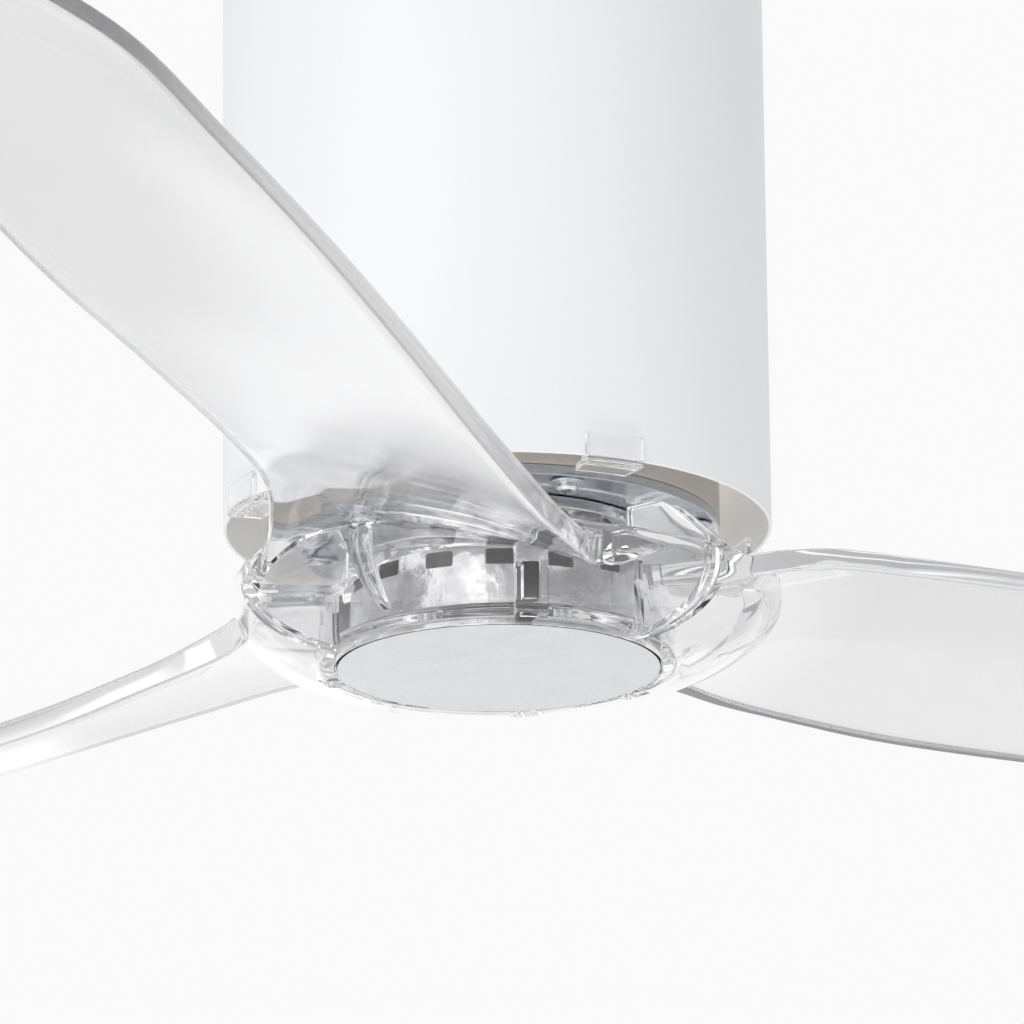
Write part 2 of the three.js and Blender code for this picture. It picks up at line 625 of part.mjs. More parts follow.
// The twisted paddle, lofted between its two edge curves, with square edges and a slight camber.
function bladePaddle() {
  const high = curveThrough(HIGH_EDGE);
  const low = curveThrough(LOW_EDGE);
  const ring = 2 * (BLADE_COLUMNS + 1);
  const corners = [];
  for (let row = 0; row <= BLADE_ROWS; row += 1) {
    const along = 1 - (1 - row / BLADE_ROWS) ** 1.15;
    const from = high.getPoint(along);
    const to = low.getPoint(along);
    const chord = to.clone().sub(from);
    const run = high.getTangent(along).add(low.getTangent(along));
    const up = run.cross(chord).normalize();
    const reach = THREE.MathUtils.smoothstep((from.x + to.x) / 2, 130, BLADE_REACH);
    const thickness = THREE.MathUtils.lerp(BLADE_ROOT_THICKNESS, BLADE_TIP_THICKNESS, reach);
    const arch = BLADE_CAMBER * THREE.MathUtils.clamp(chord.length() / 100, 0, 1);
    const swell = ROOT_SWELL * (1 - THREE.MathUtils.smoothstep(to.x, ROOT_SWELL_SPAN[1], ROOT_SWELL_SPAN[0]));
    const surface = (side) => (column) => {
      const across = column / BLADE_COLUMNS;
      const half = (thickness / 2) * (1 + swell * across ** 2);
      const lift = arch * 4 * across * (1 - across) + side * half;
      return from.clone().addScaledVector(chord, across).addScaledVector(up, lift);
    };
    const columns = Array.from({ length: BLADE_COLUMNS + 1 }, (_, i) => i);
    corners.push(...columns.map(surface(1)), ...columns.reverse().map(surface(-1)));
  }
  const faces = [];
  const quad = (a, b, c, d) => faces.push(a, b, c, a, c, d);
  for (let row = 0; row < BLADE_ROWS; row += 1) {
    for (let i = 0; i < ring; i += 1) {
      const next = (i + 1) % ring;
      quad(row * ring + i, row * ring + next, (row + 1) * ring + next, (row + 1) * ring + i);
    }
  }
  for (let i = 0; i < BLADE_COLUMNS; i += 1) {
    const last = BLADE_ROWS * ring;
    quad(i + 1, i, ring - 1 - i, ring - 2 - i);
    quad(last + i, last + i + 1, last + ring - 2 - i, last + ring - 1 - i);
  }
  const geometry = new THREE.BufferGeometry();
  const flat = corners.flatMap((corner) => corner.toArray());
  geometry.setAttribute('position', new THREE.Float32BufferAttribute(flat, 3));
  geometry.setIndex(faces);
  return solidFrom(geometry);
}

// How much the barrel swells at an angle, in degrees from the blade.
const lobeAt = (degrees) => LOBE * Math.cos(BLADE_COUNT * radians(degrees - LOBE_TURN));

// The barrel's side from its floor up to the belly: a quarter ellipse, drawn in by a distance.
function barrelSide(drawnIn, belly, steps) {
  const across = belly - drawnIn - HUB_FLOOR_RADIUS;
  const down = BELLY_HEIGHT - HUB_FLOOR - drawnIn;
  return Array.from({ length: steps + 1 }, (_, i) => {
    const angle = THREE.MathUtils.lerp(Math.PI / 15, Math.PI / 2, i / steps);
    return [HUB_FLOOR_RADIUS + across * Math.sin(angle), BELLY_HEIGHT - down * Math.cos(angle)];
  });
}

// The barrel's skin, the ring round the cap, the inner wall and the land that the screws clamp.
function hubBowl() {
  const innerWall = HUB_INNER_RADIUS + HUB_SKIN;
  const capSeat = CAP_RADIUS + 0.5;
  const profile = [
    [HUB_LAND_RADIUS, HUB_LAND_UNDERSIDE], [capSeat, HUB_LAND_UNDERSIDE], [capSeat, HUB_FLOOR],
    ...barrelSide(0, BELLY_RADIUS, 6), [BELLY_RADIUS, HUB_BOWL_TOP], [BELLY_RADIUS - HUB_SKIN, HUB_BOWL_TOP],
    ...barrelSide(HUB_SKIN, BELLY_RADIUS, 4).reverse(), [innerWall, HUB_FLOOR + HUB_SKIN],
    [innerWall, HUB_INNER_TOP], [HUB_INNER_RADIUS, HUB_INNER_TOP], [HUB_INNER_RADIUS, HUB_LAND_TOP],
    [HUB_LAND_RADIUS, HUB_LAND_TOP],
  ];
  const points = [...profile, profile[0]].map(([radius, height]) => new THREE.Vector2(radius, height));
  const geometry = new THREE.LatheGeometry(points, SHOWN_ROUND).rotateX(Math.PI / 2);
  const spots = geometry.attributes.position;
  for (let i = 0; i < spots.count; i += 1) {
    const radius = Math.hypot(spots.getX(i), spots.getY(i));
    const share = Math.max(radius - LOBE_START, 0) / (BELLY_RADIUS - LOBE_START);
    const degrees = THREE.MathUtils.radToDeg(Math.atan2(spots.getY(i), spots.getX(i)));
    const swell = 1 + (share * lobeAt(degrees)) / radius;
    spots.setXY(i, spots.getX(i) * swell, spots.getY(i) * swell);
  }
  return solidFrom(geometry);
}

// Carries an outline towards a corner and rounds it off towards the next one.
function roundTo(shape, corner, next, reach) {
  const here = new THREE.Vector2(...corner);
  const before = shape.currentPoint.clone().sub(here).setLength(reach).add(here);
  const after = new THREE.Vector2(...next).sub(here).setLength(reach).add(here);
  shape.lineTo(before.x, before.y);
  shape.quadraticCurveTo(here.x, here.y, after.x, after.y);
}

// An upright plate of an outline in (distance from the axis, height), turned to an angle.
function radialPlate(shape, thickness, degrees) {
  const options = { depth: thickness, bevelEnabled: false, curveSegments: 3 };
  const geometry = new THREE.ExtrudeGeometry(shape, options);
  geometry.rotateX(Math.PI / 2).translate(0, thickness / 2, 0).rotateZ(radians(degrees));
  return solidFrom(geometry);
}

// A tall wall that closes one end of the moulding's share of the hub.
function endWall(degrees) {
  const belly = BELLY_RADIUS + lobeAt(degrees);
  const side = barrelSide(SUNK, belly, 6);
  const shape = new THREE.Shape();
  shape.moveTo(HUB_INNER_RADIUS + 1, side[0][1]);
  for (const [radius, height] of side) shape.lineTo(radius, height);
  const [brow, shoulder] = [[belly - SUNK, HUB_BOWL_TOP + 1], [END_WALL_SHOULDER, END_WALL_TOP]];
  const root = [HUB_INNER_RADIUS + 1, END_WALL_TOP];
  roundTo(shape, brow, shoulder, END_WALL_ROUND);
  roundTo(shape, shoulder, root, END_WALL_ROUND);
  shape.lineTo(...root);
  return radialPlate(shape, END_WALL_THICKNESS, degrees);
}

// A crescent rib inside the barrel's skin that stiffens the root of the paddle.
function crescentRib() {
  const belly = BELLY_RADIUS + lobeAt(RIB_ANGLE) - SUNK;
  const side = barrelSide(SUNK, belly, 6).slice(1);
  const shape = new THREE.Shape();
  shape.moveTo(...side[0]);
  for (const [radius, height] of side.slice(1)) shape.lineTo(radius, height);
  const inner = belly - RIB_DEPTH;
  roundTo(shape, [belly, RIB_TOP], [inner, RIB_TOP], RIB_ROUND);
  roundTo(shape, [inner, RIB_TOP], [inner, BELLY_HEIGHT], RIB_ROUND);
  shape.lineTo(inner, BELLY_HEIGHT);
  shape.quadraticCurveTo(inner - RIB_DEPTH / 2, BELLY_HEIGHT - RIB_DEPTH, side[0][0], side[0][1] + HUB_SKIN);
  return radialPlate(shape, RIB_THICKNESS, RIB_ANGLE);
}

function mouldingWedge() {
  const far = BLADE_REACH * 2.2;
  const shape = new THREE.Shape();
  const middle = radians((SEAM_LOW + SEAM_HIGH) / 2);
  const half = radians((SEAM_HIGH - SEAM_LOW) / 2);
  const shift = GAP / 2 / Math.sin(half);
  shape.moveTo(shift * Math.cos(middle), shift * Math.sin(middle));
  shape.lineTo(far * Math.cos(middle - half), far * Math.sin(middle - half));
  shape.lineTo(far * Math.cos(middle), far * Math.sin(middle));
  shape.lineTo(far * Math.cos(middle + half), far * Math.sin(middle + half));
  return slabOf(shape, -80, 20);
}

function bladeMoulding() {
  const paddle = cut(bladePaddle(), rod(HUB_INNER_RADIUS, -60, 10, { segments: SHOWN_ROUND }));
  const slotBlock = block(
    [HUB_INNER_RADIUS + 1, HUB_INNER_RADIUS + SLOT_DEPTH],
    [-SLOT_WIDTH / 2 - SLOT_RIB, SLOT_WIDTH / 2 + SLOT_RIB],
    [HUB_FLOOR + HUB_SKIN - 1, HUB_INNER_TOP], radians(SLOT_ANGLE),
  );
  const whole = join(hubBowl(), paddle, ...END_WALL_ANGLES.map(endWall), crescentRib(), slotBlock);
  const cuts = [
    block([HUB_INNER_RADIUS - 3, HUB_INNER_RADIUS + SLOT_DEPTH + 1], [-SLOT_WIDTH / 2, SLOT_WIDTH / 2],
      [PAD_LOW - GAP, PAD_HIGH + GAP], radians(SLOT_ANGLE)),
  ];
  for (const offset of BLADE_SCREW_ANGLES) {
    const spot = onCircle(BLADE_SCREW_CIRCLE, radians(offset));
    cuts.push(rod(M5_HOLE, HUB_LAND_UNDERSIDE - 2, HUB_LAND_TOP + 2, spot));
    cuts.push(rod(M5_HEAD + GAP, HUB_LAND_UNDERSIDE - 2, HUB_LAND_UNDERSIDE + 2.4, spot));
  }
  return cut(whole, ...cuts).intersect(mouldingWedge());
}

const PAD_LOW = -39;
const PAD_HIGH = -27.5;

function rootPad() {
  const half = SLOT_WIDTH / 2 - GAP;
  return block([CORE_RADIUS + GAP, HUB_INNER_RADIUS + SLOT_DEPTH - 1], [-half, half], [PAD_LOW, PAD_HIGH]);
}

function bladeScrew() {
  const seat = HUB_LAND_UNDERSIDE + 2.4 - GAP;
  return turned([
    [0, seat - 2], [M5_HEAD - 0.8, seat - 2], [M5_HEAD, seat - 1.2], [M5_HEAD, seat],
    [M5_SHANK, seat], [M5_SHANK, BLADE_SCREW_TIP], [0, BLADE_SCREW_TIP],
  ], SMALL_ROUND, false);
}

// A satin disc with a spring skirt that pushes up into the core's bore.
function capDisc() {
  const back = HUB_FLOOR + CAP_THICKNESS;
  const skirt = CORE_BORE - 0.5;
  return turned([
    [0, HUB_FLOOR], [CAP_RADIUS - 0.8, HUB_FLOOR], [CAP_RADIUS, HUB_FLOOR + 0.8], [CAP_RADIUS, back],
    [skirt, back], [skirt, back + 9], [skirt - 2, back + 9], [skirt - 2, back], [0, back],
  ], SHOWN_ROUND, false);
}

// ---- put together -------------------------------------------------------------------------------

place(stationary, 'ceiling_plate', ceilingPlate(), STEEL);
place(stationary, 'stem_socket', stemSocket(), CAST_ALUMINIUM);
spread(3, Math.PI / 6).forEach((angle, i) => {
  place(stationary, `socket_screw_${i + 1}`, socketScrew(), STEEL, onCircle(SOCKET_SCREW_CIRCLE, angle));
});
place(stationary, 'motor_stem', motorStem(), STEEL);
place(stationary, 'stem_pin', stemPin(), STEEL);
place(stationary, 'stem_pin_clip', pinClip(), STEEL);
place(stationary, 'control_bracket', controlBracket(), STEEL);
BRACKET_SCREW_Y.forEach((y, i) => {
  place(stationary, `bracket_screw_${i + 1}`, bracketScrew(), STEEL, { x: BRACKET_SCREW_X, y });
});
place(stationary, 'control_case', controlCase(), GREY_PLASTIC);
place(stationary, 'control_lid', controlLid(), GREY_PLASTIC);
place(stationary, 'control_board', controlBoard(), BOARD_GREEN);
place(stationary, 'terminal_block', terminalBlock(), WHITE_PLASTIC);
place(stationary, 'tube_housing', tubeHousing(), WHITE_PAINT);
spread(TUBE_SCREW_COUNT, Math.PI / 2).forEach((turn, i) => {
  place(stationary, `tube_screw_${i + 1}`, tubeScrew(), STEEL, { turn });
});
spread(CLIP_COUNT, fromFront(CLIP_TURN)).forEach((turn, i) => {
  place(rimLevel, `rim_clip_${i + 1}`, rimClip(), CLEAR_PLASTIC, { turn });
});
place(rimLevel, 'lower_bearing', bearing(LOWER_BEARING), STEEL);
place(rimLevel, 'upper_bearing', bearing(UPPER_BEARING), STEEL);
place(rimLevel, 'stator_core', statorCore(), IRON);
place(rimLevel, 'winding_lower', winding(12, 17.7), COPPER);
place(rimLevel, 'winding_upper', winding(44.3, 50), COPPER);

place(spinning, 'motor_case', motorCase(), DARK_PAINT);
place(spinning, 'magnet_ring', tube(MAGNET_RADIUS, MAGNET_RADIUS - MAGNET_THICKNESS, 14, 48), FERRITE);
place(spinning, 'motor_flange', motorFlange(), ZINC);
spread(FLANGE_SCREW_COUNT, fromFront(FLANGE_SCREW_TURN)).forEach((angle, i) => {
  place(spinning, `flange_screw_${i + 1}`, flangeScrew(), STEEL, onCircle(FLANGE_SCREW_CIRCLE, angle));
});
place(spinning, 'hub_core', hubCore(), CAST_ALUMINIUM);
spread(3, fromFront(0)).forEach((angle, i) => {
  place(spinning, `core_screw_${i + 1}`, coreScrew(), STEEL, onCircle(CORE_SCREW_CIRCLE, angle));
});
const moulding = bladeMoulding();
spread(BLADE_COUNT, fromFront(BLADE_TURN)).forEach((turn, i) => {
  place(spinning, `blade_${i + 1}`, moulding, CLEAR_PLASTIC, { turn });
  place(spinning, `root_pad_${i + 1}`, rootPad(), RUBBER, { turn: turn + radians(SLOT_ANGLE) });
  BLADE_SCREW_ANGLES.forEach((offset, j) => {
    const spot = onCircle(BLADE_SCREW_CIRCLE, turn + radians(offset));
    place(spinning, `blade_screw_${2 * i + j + 1}`, bladeScrew(), STEEL, spot);
  });
});
place(spinning, 'cap_disc', capDisc(), SATIN_CAP);

export default fan;
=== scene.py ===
# Close-to-ceiling fan with a white tube housing, an outer-rotor motor in its lower end and three
# clear moulded blades whose roots form a barrel-shaped hub. Sizes are in millimetres and become
# metres where a mesh is made. The origin is the ceiling, and the fan hangs down along -Z.

import math

import bmesh
import bpy
from mathutils import Matrix, Vector


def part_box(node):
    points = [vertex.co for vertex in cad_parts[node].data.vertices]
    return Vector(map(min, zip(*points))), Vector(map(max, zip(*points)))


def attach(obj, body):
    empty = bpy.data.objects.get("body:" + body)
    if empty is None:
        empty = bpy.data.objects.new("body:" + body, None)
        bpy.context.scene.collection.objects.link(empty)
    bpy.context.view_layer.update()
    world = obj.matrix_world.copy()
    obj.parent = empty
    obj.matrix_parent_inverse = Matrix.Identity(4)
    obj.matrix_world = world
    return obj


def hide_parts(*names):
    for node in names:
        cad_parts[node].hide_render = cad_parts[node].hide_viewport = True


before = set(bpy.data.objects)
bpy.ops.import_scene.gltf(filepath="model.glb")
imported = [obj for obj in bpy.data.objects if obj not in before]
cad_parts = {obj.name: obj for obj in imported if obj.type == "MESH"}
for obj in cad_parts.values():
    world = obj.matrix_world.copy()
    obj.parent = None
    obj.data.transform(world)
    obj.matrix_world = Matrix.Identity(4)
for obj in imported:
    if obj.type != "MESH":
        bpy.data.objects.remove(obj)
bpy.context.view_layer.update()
scene = bpy.context.scene
MM = 0.001

# ---- Camera --------------------------------------------------------------------------------------
# A long lens 2.9 m from the fan, a little below it and looking up at the hub.

LENS = 300.2
CAMERA_PLACE = (0.0, -2.68863, -1.03162)
LOOK_ASIDE = -0.103                     # degrees, as the next two
LOOK_UP = 16.535
ROLL = -0.5775

camera_data = bpy.data.cameras.new("camera")
camera_data.sensor_width = 36.0
camera_data.lens = LENS
camera_data.clip_end = 2000.0
camera = bpy.data.objects.new("camera", camera_data)
camera.matrix_world = (
    Matrix.Translation(CAMERA_PLACE)
    @ Matrix.Rotation(math.radians(LOOK_ASIDE), 4, "Z")
    @ Matrix.Rotation(math.radians(90 + LOOK_UP), 4, "X")
    @ Matrix.Rotation(math.radians(ROLL), 4, "Z")
)
scene.collection.objects.link(camera)
scene.camera = camera

# ---- Studio --------------------------------------------------------------------------------------
# A grey room with a lit screen behind the fan and soft light from the front left, over a pale floor
# that lies far below, so that a view from under the fan still sees the fan. For mirrors and clear
# plastic the room's front is darker, which draws the outlines of the plastic.

BACKDROP = 0.956
SCREEN = (0.98, 0.98, 0.98, 1)          # the lit screen behind the fan
ROOM = (0.66, 0.665, 0.675, 1)          # the rest of the room
ROOM_FRONT = (0.34, 0.34, 0.35, 1)      # its front, for mirrors and clear plastic
SCREEN_EDGE = 0.45                      # cosines of the screen's edge, seen from the fan
SCREEN_FULL = 0.75
FLOOR_DROP = 20.0
FLOOR_RADIUS = 60.0
FLOOR_GREY = 0.9
FLOOR_ROUGHNESS = 0.9

world = bpy.data.worlds.new("studio")
scene.world = world
world.use_nodes = True
world.cycles.sampling_method = "NONE"   # light sampling would see only one of the room's two looks
nodes, links = world.node_tree.nodes, world.node_tree.links
nodes.clear()
direction = nodes.new("ShaderNodeTexCoord")
behind = nodes.new("ShaderNodeVectorMath")
behind.operation = "DOT_PRODUCT"
behind.inputs[1].default_value = (0.0, 1.0, 0.0)


def room_from(first, *between):
    """The room's colours towards the full screen; each stop is (cosine, colour)."""
    ramp = nodes.new("ShaderNodeValToRGB")
    ramp.color_ramp.interpolation = "EASE"
    stops = ramp.color_ramp.elements
    stops[0].position, stops[0].color = first
    stops[1].position, stops[1].color = SCREEN_FULL, SCREEN
    for cosine, colour in between:
        stops.new(cosine).color = colour
    return ramp


lighting = room_from((SCREEN_EDGE, ROOM))
mirrored = room_from((0.0, ROOM_FRONT), (SCREEN_EDGE, ROOM))
split = nodes.new("ShaderNodeMix")
split.data_type = "RGBA"
soft_light = nodes.new("ShaderNodeBackground")
backdrop = nodes.new("ShaderNodeBackground")
backdrop.inputs["Color"].default_value = (BACKDROP, BACKDROP, BACKDROP, 1)
seen = nodes.new("ShaderNodeLightPath")
choose = nodes.new("ShaderNodeMixShader")
output = nodes.new("ShaderNodeOutputWorld")
links.new(direction.outputs["Generated"], behind.inputs[0])
links.new(behind.outputs["Value"], lighting.inputs["Fac"])
links.new(behind.outputs["Value"], mirrored.inputs["Fac"])
links.new(seen.outputs["Diffuse Depth"], split.inputs["Factor"])
links.new(mirrored.outputs["Color"], split.inputs["A"])
links.new(lighting.outputs["Color"], split.inputs["B"])
links.new(split.outputs["Result"], soft_light.inputs["Color"])
links.new(seen.outputs["Is Camera Ray"], choose.inputs["Fac"])
links.new(soft_light.outputs["Background"], choose.inputs[1])
links.new(backdrop.outputs["Background"], choose.inputs[2])
links.new(choose.outputs["Shader"], output.inputs["Surface"])


def soft_box(name, place, aim, size, power, shape="SQUARE", mirrored_too=True):
    """A flat lamp that faces a point; places and size in metres, power in watts."""
    data = bpy.data.lights.new(name, "AREA")
    data.shape = shape
    data.size = size
    data.energy = power
    lamp = bpy.data.objects.new(name, data)
    lamp.location = place
    lamp.visible_camera = False
    lamp.visible_glossy = mirrored_too
    lamp.rotation_euler = (Vector(aim) - Vector(place)).to_track_quat("-Z", "Y").to_euler()
    scene.collection.objects.link(lamp)


# A broad key light, two fills that only matt surfaces see, a weak lamp in the tube that shows its
# inside through the gap round the motor, and one behind the fan that glints in the clear roots.
HUB = (0.0, 0.0, -0.26)
GROUND = (0.0, 0.0, -1.0)
soft_box("key_light", place=(-1.5, -2.3, -0.2), aim=HUB, size=2.6, power=26)
soft_box("front_fill", place=(-0.15, -2.6, -0.7), aim=HUB, size=2.0, power=7.5, mirrored_too=False)
soft_box("low_fill", place=(0.0, -0.3, -2.4), aim=HUB, size=5.0, power=62, mirrored_too=False)
soft_box("gap_light", place=(0.0, 0.0, -0.172), aim=GROUND, size=0.17, power=0.16, shape="DISK")
soft_box("back_light", place=(-0.44, 2.5, -0.38), aim=HUB, size=0.55, power=0.5)

floor_mesh = bpy.data.meshes.new("floor")
shape = bmesh.new()
bmesh.ops.create_circle(shape, cap_ends=True, segments=64, radius=FLOOR_RADIUS)
bmesh.ops.translate(shape, verts=shape.verts, vec=(0, 0, -FLOOR_DROP))
shape.to_mesh(floor_mesh)
shape.free()
floor = bpy.data.objects.new("floor", floor_mesh)
scene.collection.objects.link(floor)
floor_paint = bpy.data.materials.new("pale_floor")
floor_paint.use_nodes = True
floor_surface = floor_paint.node_tree.nodes["Principled BSDF"]
floor_surface.inputs["Base Color"].default_value = (FLOOR_GREY, FLOOR_GREY, FLOOR_GREY, 1)
floor_surface.inputs["Roughness"].default_value = FLOOR_ROUGHNESS
floor_mesh.materials.append(floor_paint)

scene.view_settings.view_transform = "Standard"
scene.view_settings.look = "None"
scene.cycles.use_denoising = True
# Light crosses many clear walls one behind the other, so the roots would go black with few bounces,
# and dim with softened reflections.
scene.cycles.max_bounces = 48
scene.cycles.transmission_bounces = 48
scene.cycles.glossy_bounces = 40
scene.cycles.diffuse_bounces = 4
scene.cycles.transparent_max_bounces = 16
scene.cycles.blur_glossy = 0.0
scene.cycles.caustics_reflective = True
scene.cycles.caustics_refractive = True

# ---- Ceiling fixing ------------------------------------------------------------------------------
# A pressed steel cup is screwed to the ceiling. A cast socket under it takes the top of the hollow
# steel stem, which a cross pin and a spring clip hold.


def node_group(name, inputs, outputs):
    """An empty shader group; sockets are (name, kind, default)."""
    group = bpy.data.node_groups.new(name, "ShaderNodeTree")
    for socket, kind, default in inputs:
        made = group.interface.new_socket(socket, in_out="INPUT", socket_type=kind)
        if default is not None:
            made.default_value = default
    for socket, kind in outputs:
        group.interface.new_socket(socket, in_out="OUTPUT", socket_type=kind)
    return group, group.nodes.new("NodeGroupInput"), group.nodes.new("NodeGroupOutput")


PATCH_SCALE = 0.06                      # share of the fine grain's scale
EDGE_SPAN = (0.52, 0.62)                # pointiness where wear starts, and where it is full


def grain_group():
    """Fine grain over broad patches: a tone from 0 to 1 and a height."""
    group, given, result = node_group(
        "grain",
        [("Vector", "NodeSocketVector", None), ("Scale", "NodeSocketFloat", 400.0),
         ("Patches", "NodeSocketFloat", 0.35)],
        [("Tone", "NodeSocketFloat"), ("Height", "NodeSocketFloat")],
    )
    fine = group.nodes.new("ShaderNodeTexNoise")
    fine.inputs["Detail"].default_value = 4.0
    broad = group.nodes.new("ShaderNodeTexNoise")
    broad.inputs["Detail"].default_value = 2.0
    slower = group.nodes.new("ShaderNodeMath")
    slower.operation = "MULTIPLY"
    slower.inputs[1].default_value = PATCH_SCALE
    blend = group.nodes.new("ShaderNodeMix")
    group.links.new(given.outputs["Vector"], fine.inputs["Vector"])
    group.links.new(given.outputs["Vector"], broad.inputs["Vector"])
    group.links.new(given.outputs["Scale"], fine.inputs["Scale"])
    group.links.new(given.outputs["Scale"], slower.inputs[0])
    group.links.new(slower.outputs["Value"], broad.inputs["Scale"])
    group.links.new(given.outputs["Patches"], blend.inputs["Factor"])
    group.links.new(fine.outputs["Fac"], blend.inputs["A"])
    group.links.new(broad.outputs["Fac"], blend.inputs["B"])
    group.links.new(blend.outputs["Result"], result.inputs["Tone"])
    group.links.new(fine.outputs["Fac"], result.inputs["Height"])
    return group


def edge_group():
    """A mask of the outer edges, where a finish wears brighter."""
    group, given, result = node_group(
        "edge_wear",
        [("Amount", "NodeSocketFloat", 0.5)],
        [("Mask", "NodeSocketFloat")],
    )
    surface = group.nodes.new("ShaderNodeNewGeometry")
    sharpen = group.nodes.new("ShaderNodeMapRange")
    sharpen.inputs["From Min"].default_value = EDGE_SPAN[0]
    sharpen.inputs["From Max"].default_value = EDGE_SPAN[1]
    scaled = group.nodes.new("ShaderNodeMath")
    scaled.operation = "MULTIPLY"
    group.links.new(surface.outputs["Pointiness"], sharpen.inputs["Value"])
    group.links.new(sharpen.outputs["Result"], scaled.inputs[0])
    group.links.new(given.outputs["Amount"], scaled.inputs[1])
    group.links.new(scaled.outputs["Value"], result.inputs["Mask"])
    return group


GRAIN = grain_group()
EDGES = edge_group()


def finish(name, colour, roughness, scale, tone=0.04, uneven=0.05, bump=0.05, depth=0.02, worn=0.0,
           stretch=(1, 1, 1), **sockets):
    """A surface finish: colour and roughness drift with the grain, and worn edges turn brighter.

    scale is the grain's, tone and uneven are the two drifts, bump and depth (mm) are the relief,
    and stretch draws the grain out. Any other name is a socket of the shader.
    """
    made = bpy.data.materials.new(name)
    made.use_nodes = True
    tree = made.node_tree
    surface = tree.nodes["Principled BSDF"]
    for socket, value in sockets.items():
        surface.inputs[socket.replace("_", " ").title().replace("Ior", "IOR")].default_value = value
    place = tree.nodes.new("ShaderNodeTexCoord")
    fit = tree.nodes.new("ShaderNodeMapping")
    fit.inputs["Scale"].default_value = stretch
    grain = tree.nodes.new("ShaderNodeGroup")
    grain.node_tree = GRAIN
    grain.inputs["Scale"].default_value = scale
    tint = tree.nodes.new("ShaderNodeMix")
    tint.data_type = "RGBA"
    tint.inputs["A"].default_value = [c * (1 - tone) for c in colour] + [1]
    tint.inputs["B"].default_value = [min(c * (1 + tone), 1) for c in colour] + [1]
    polish = tree.nodes.new("ShaderNodeMapRange")
    polish.inputs["To Min"].default_value = max(roughness - uneven, 0.0)
    polish.inputs["To Max"].default_value = roughness + uneven
    relief = tree.nodes.new("ShaderNodeBump")
    relief.inputs["Strength"].default_value = bump
    relief.inputs["Distance"].default_value = depth * MM
    join = tree.links.new
    join(place.outputs["Object"], fit.inputs["Vector"])
    join(fit.outputs["Vector"], grain.inputs["Vector"])
    join(grain.outputs["Tone"], tint.inputs["Factor"])
    join(grain.outputs["Tone"], polish.inputs["Value"])
    join(grain.outputs["Height"], relief.inputs["Height"])
    join(polish.outputs["Result"], surface.inputs["Roughness"])
    join(relief.outputs["Normal"], surface.inputs["Normal"])
    colour_out = tint.outputs["Result"]
    if worn:
        edges = tree.nodes.new("ShaderNodeGroup")
        edges.node_tree = EDGES
        edges.inputs["Amount"].default_value = worn
        bare = tree.nodes.new("ShaderNodeMix")
        bare.data_type = "RGBA"
        bare.inputs["B"].default_value = [min(c * 1.5 + 0.04, 1) for c in colour] + [1]
        join(edges.outputs["Mask"], bare.inputs["Factor"])
        join(colour_out, bare.inputs["A"])
        colour_out = bare.outputs["Result"]
    join(colour_out, surface.inputs["Base Color"])
    return made


def dress(material, *names):
    """Gives CAD nodes their finish."""
    for name in names:
        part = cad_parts[name]
        part.data.materials.clear()
        part.data.materials.append(material)


steel = finish("bright_steel", (0.62, 0.63, 0.64), 0.34, 900, metallic=1.0, worn=0.3)
pressed_steel = finish("pressed_steel", (0.50, 0.51, 0.53), 0.42, 500, metallic=0.9, worn=0.4)
cast_metal = finish("cast_metal", (0.56, 0.57, 0.58), 0.46, 700, metallic=0.9, bump=0.3, depth=0.08)
dress(pressed_steel, "ceiling_plate")
dress(cast_metal, "stem_socket")
dress(steel, "socket_screw_1", "socket_screw_2", "socket_screw_3")
dress(steel, "motor_stem", "stem_pin", "stem_pin_clip")

# ---- Control unit --------------------------------------------------------------------------------
# The speed control hangs on a folded bracket beside the stem: a grey plastic case and lid over a
# loaded board. The supply terminals are opposite.

grey_plastic = finish("grey_plastic", (0.48, 0.50, 0.52), 0.5, 1200, bump=0.15, depth=0.03)
white_plastic = finish("white_plastic", (0.78, 0.78, 0.74), 0.45, 1200, bump=0.1)
board_green = finish("green_board", (0.03, 0.11, 0.05), 0.4, 1500, tone=0.3, bump=0.2, depth=0.03)
dress(pressed_steel, "control_bracket")
dress(steel, "bracket_screw_1", "bracket_screw_2")
dress(grey_plastic, "control_case", "control_lid")
dress(board_green, "control_board")
dress(white_plastic, "terminal_block")

# ---- Tube housing --------------------------------------------------------------------------------
# A rolled tube with gloss white paint outside and grey primer inside. Three screws hold it to the
# ceiling plate, and its lower rim is a rounded edge.

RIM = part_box("tube_housing")[0].z / MM      # height of the lower rim
TUBE_RADIUS = 90.0
TUBE_WALL = 1.2
TUBE_TOP = -1.0
TUBE_EDGE = 0.4
FINE_ROUND = 256                        # faces round a main piece
HAIR = 0.05                             # a distance that tells one face from the next


def rounded(corners, radius, steps=4, closed=True):
    """The outline with its corners made round; a third value on a corner is its own radius."""
    outline = []
    for i, corner in enumerate(corners):
        here = Vector(corner[:2])
        if not closed and i in (0, len(corners) - 1):
            outline.append(here)
            continue
        before = Vector(corners[i - 1][:2]) - here
        after = Vector(corners[(i + 1) % len(corners)][:2]) - here
        turn = math.pi - before.angle(after)
        size = corner[2] if len(corner) > 2 else radius
        if turn < 0.02 or size == 0:
            outline.append(here)
            continue
        reach = min(size * math.tan(turn / 2), 0.48 * min(before.length, after.length))
        first = here + before.normalized() * reach
        last = here + after.normalized() * reach
        size = reach / math.tan(turn / 2)
        inward = (before.normalized() + after.normalized()).normalized()
        centre = here + inward * (size / math.cos(turn / 2))
        for step in range(steps + 1):
            outline.append(centre + (first - centre).slerp(last - centre, step / steps) * size)
    return outline


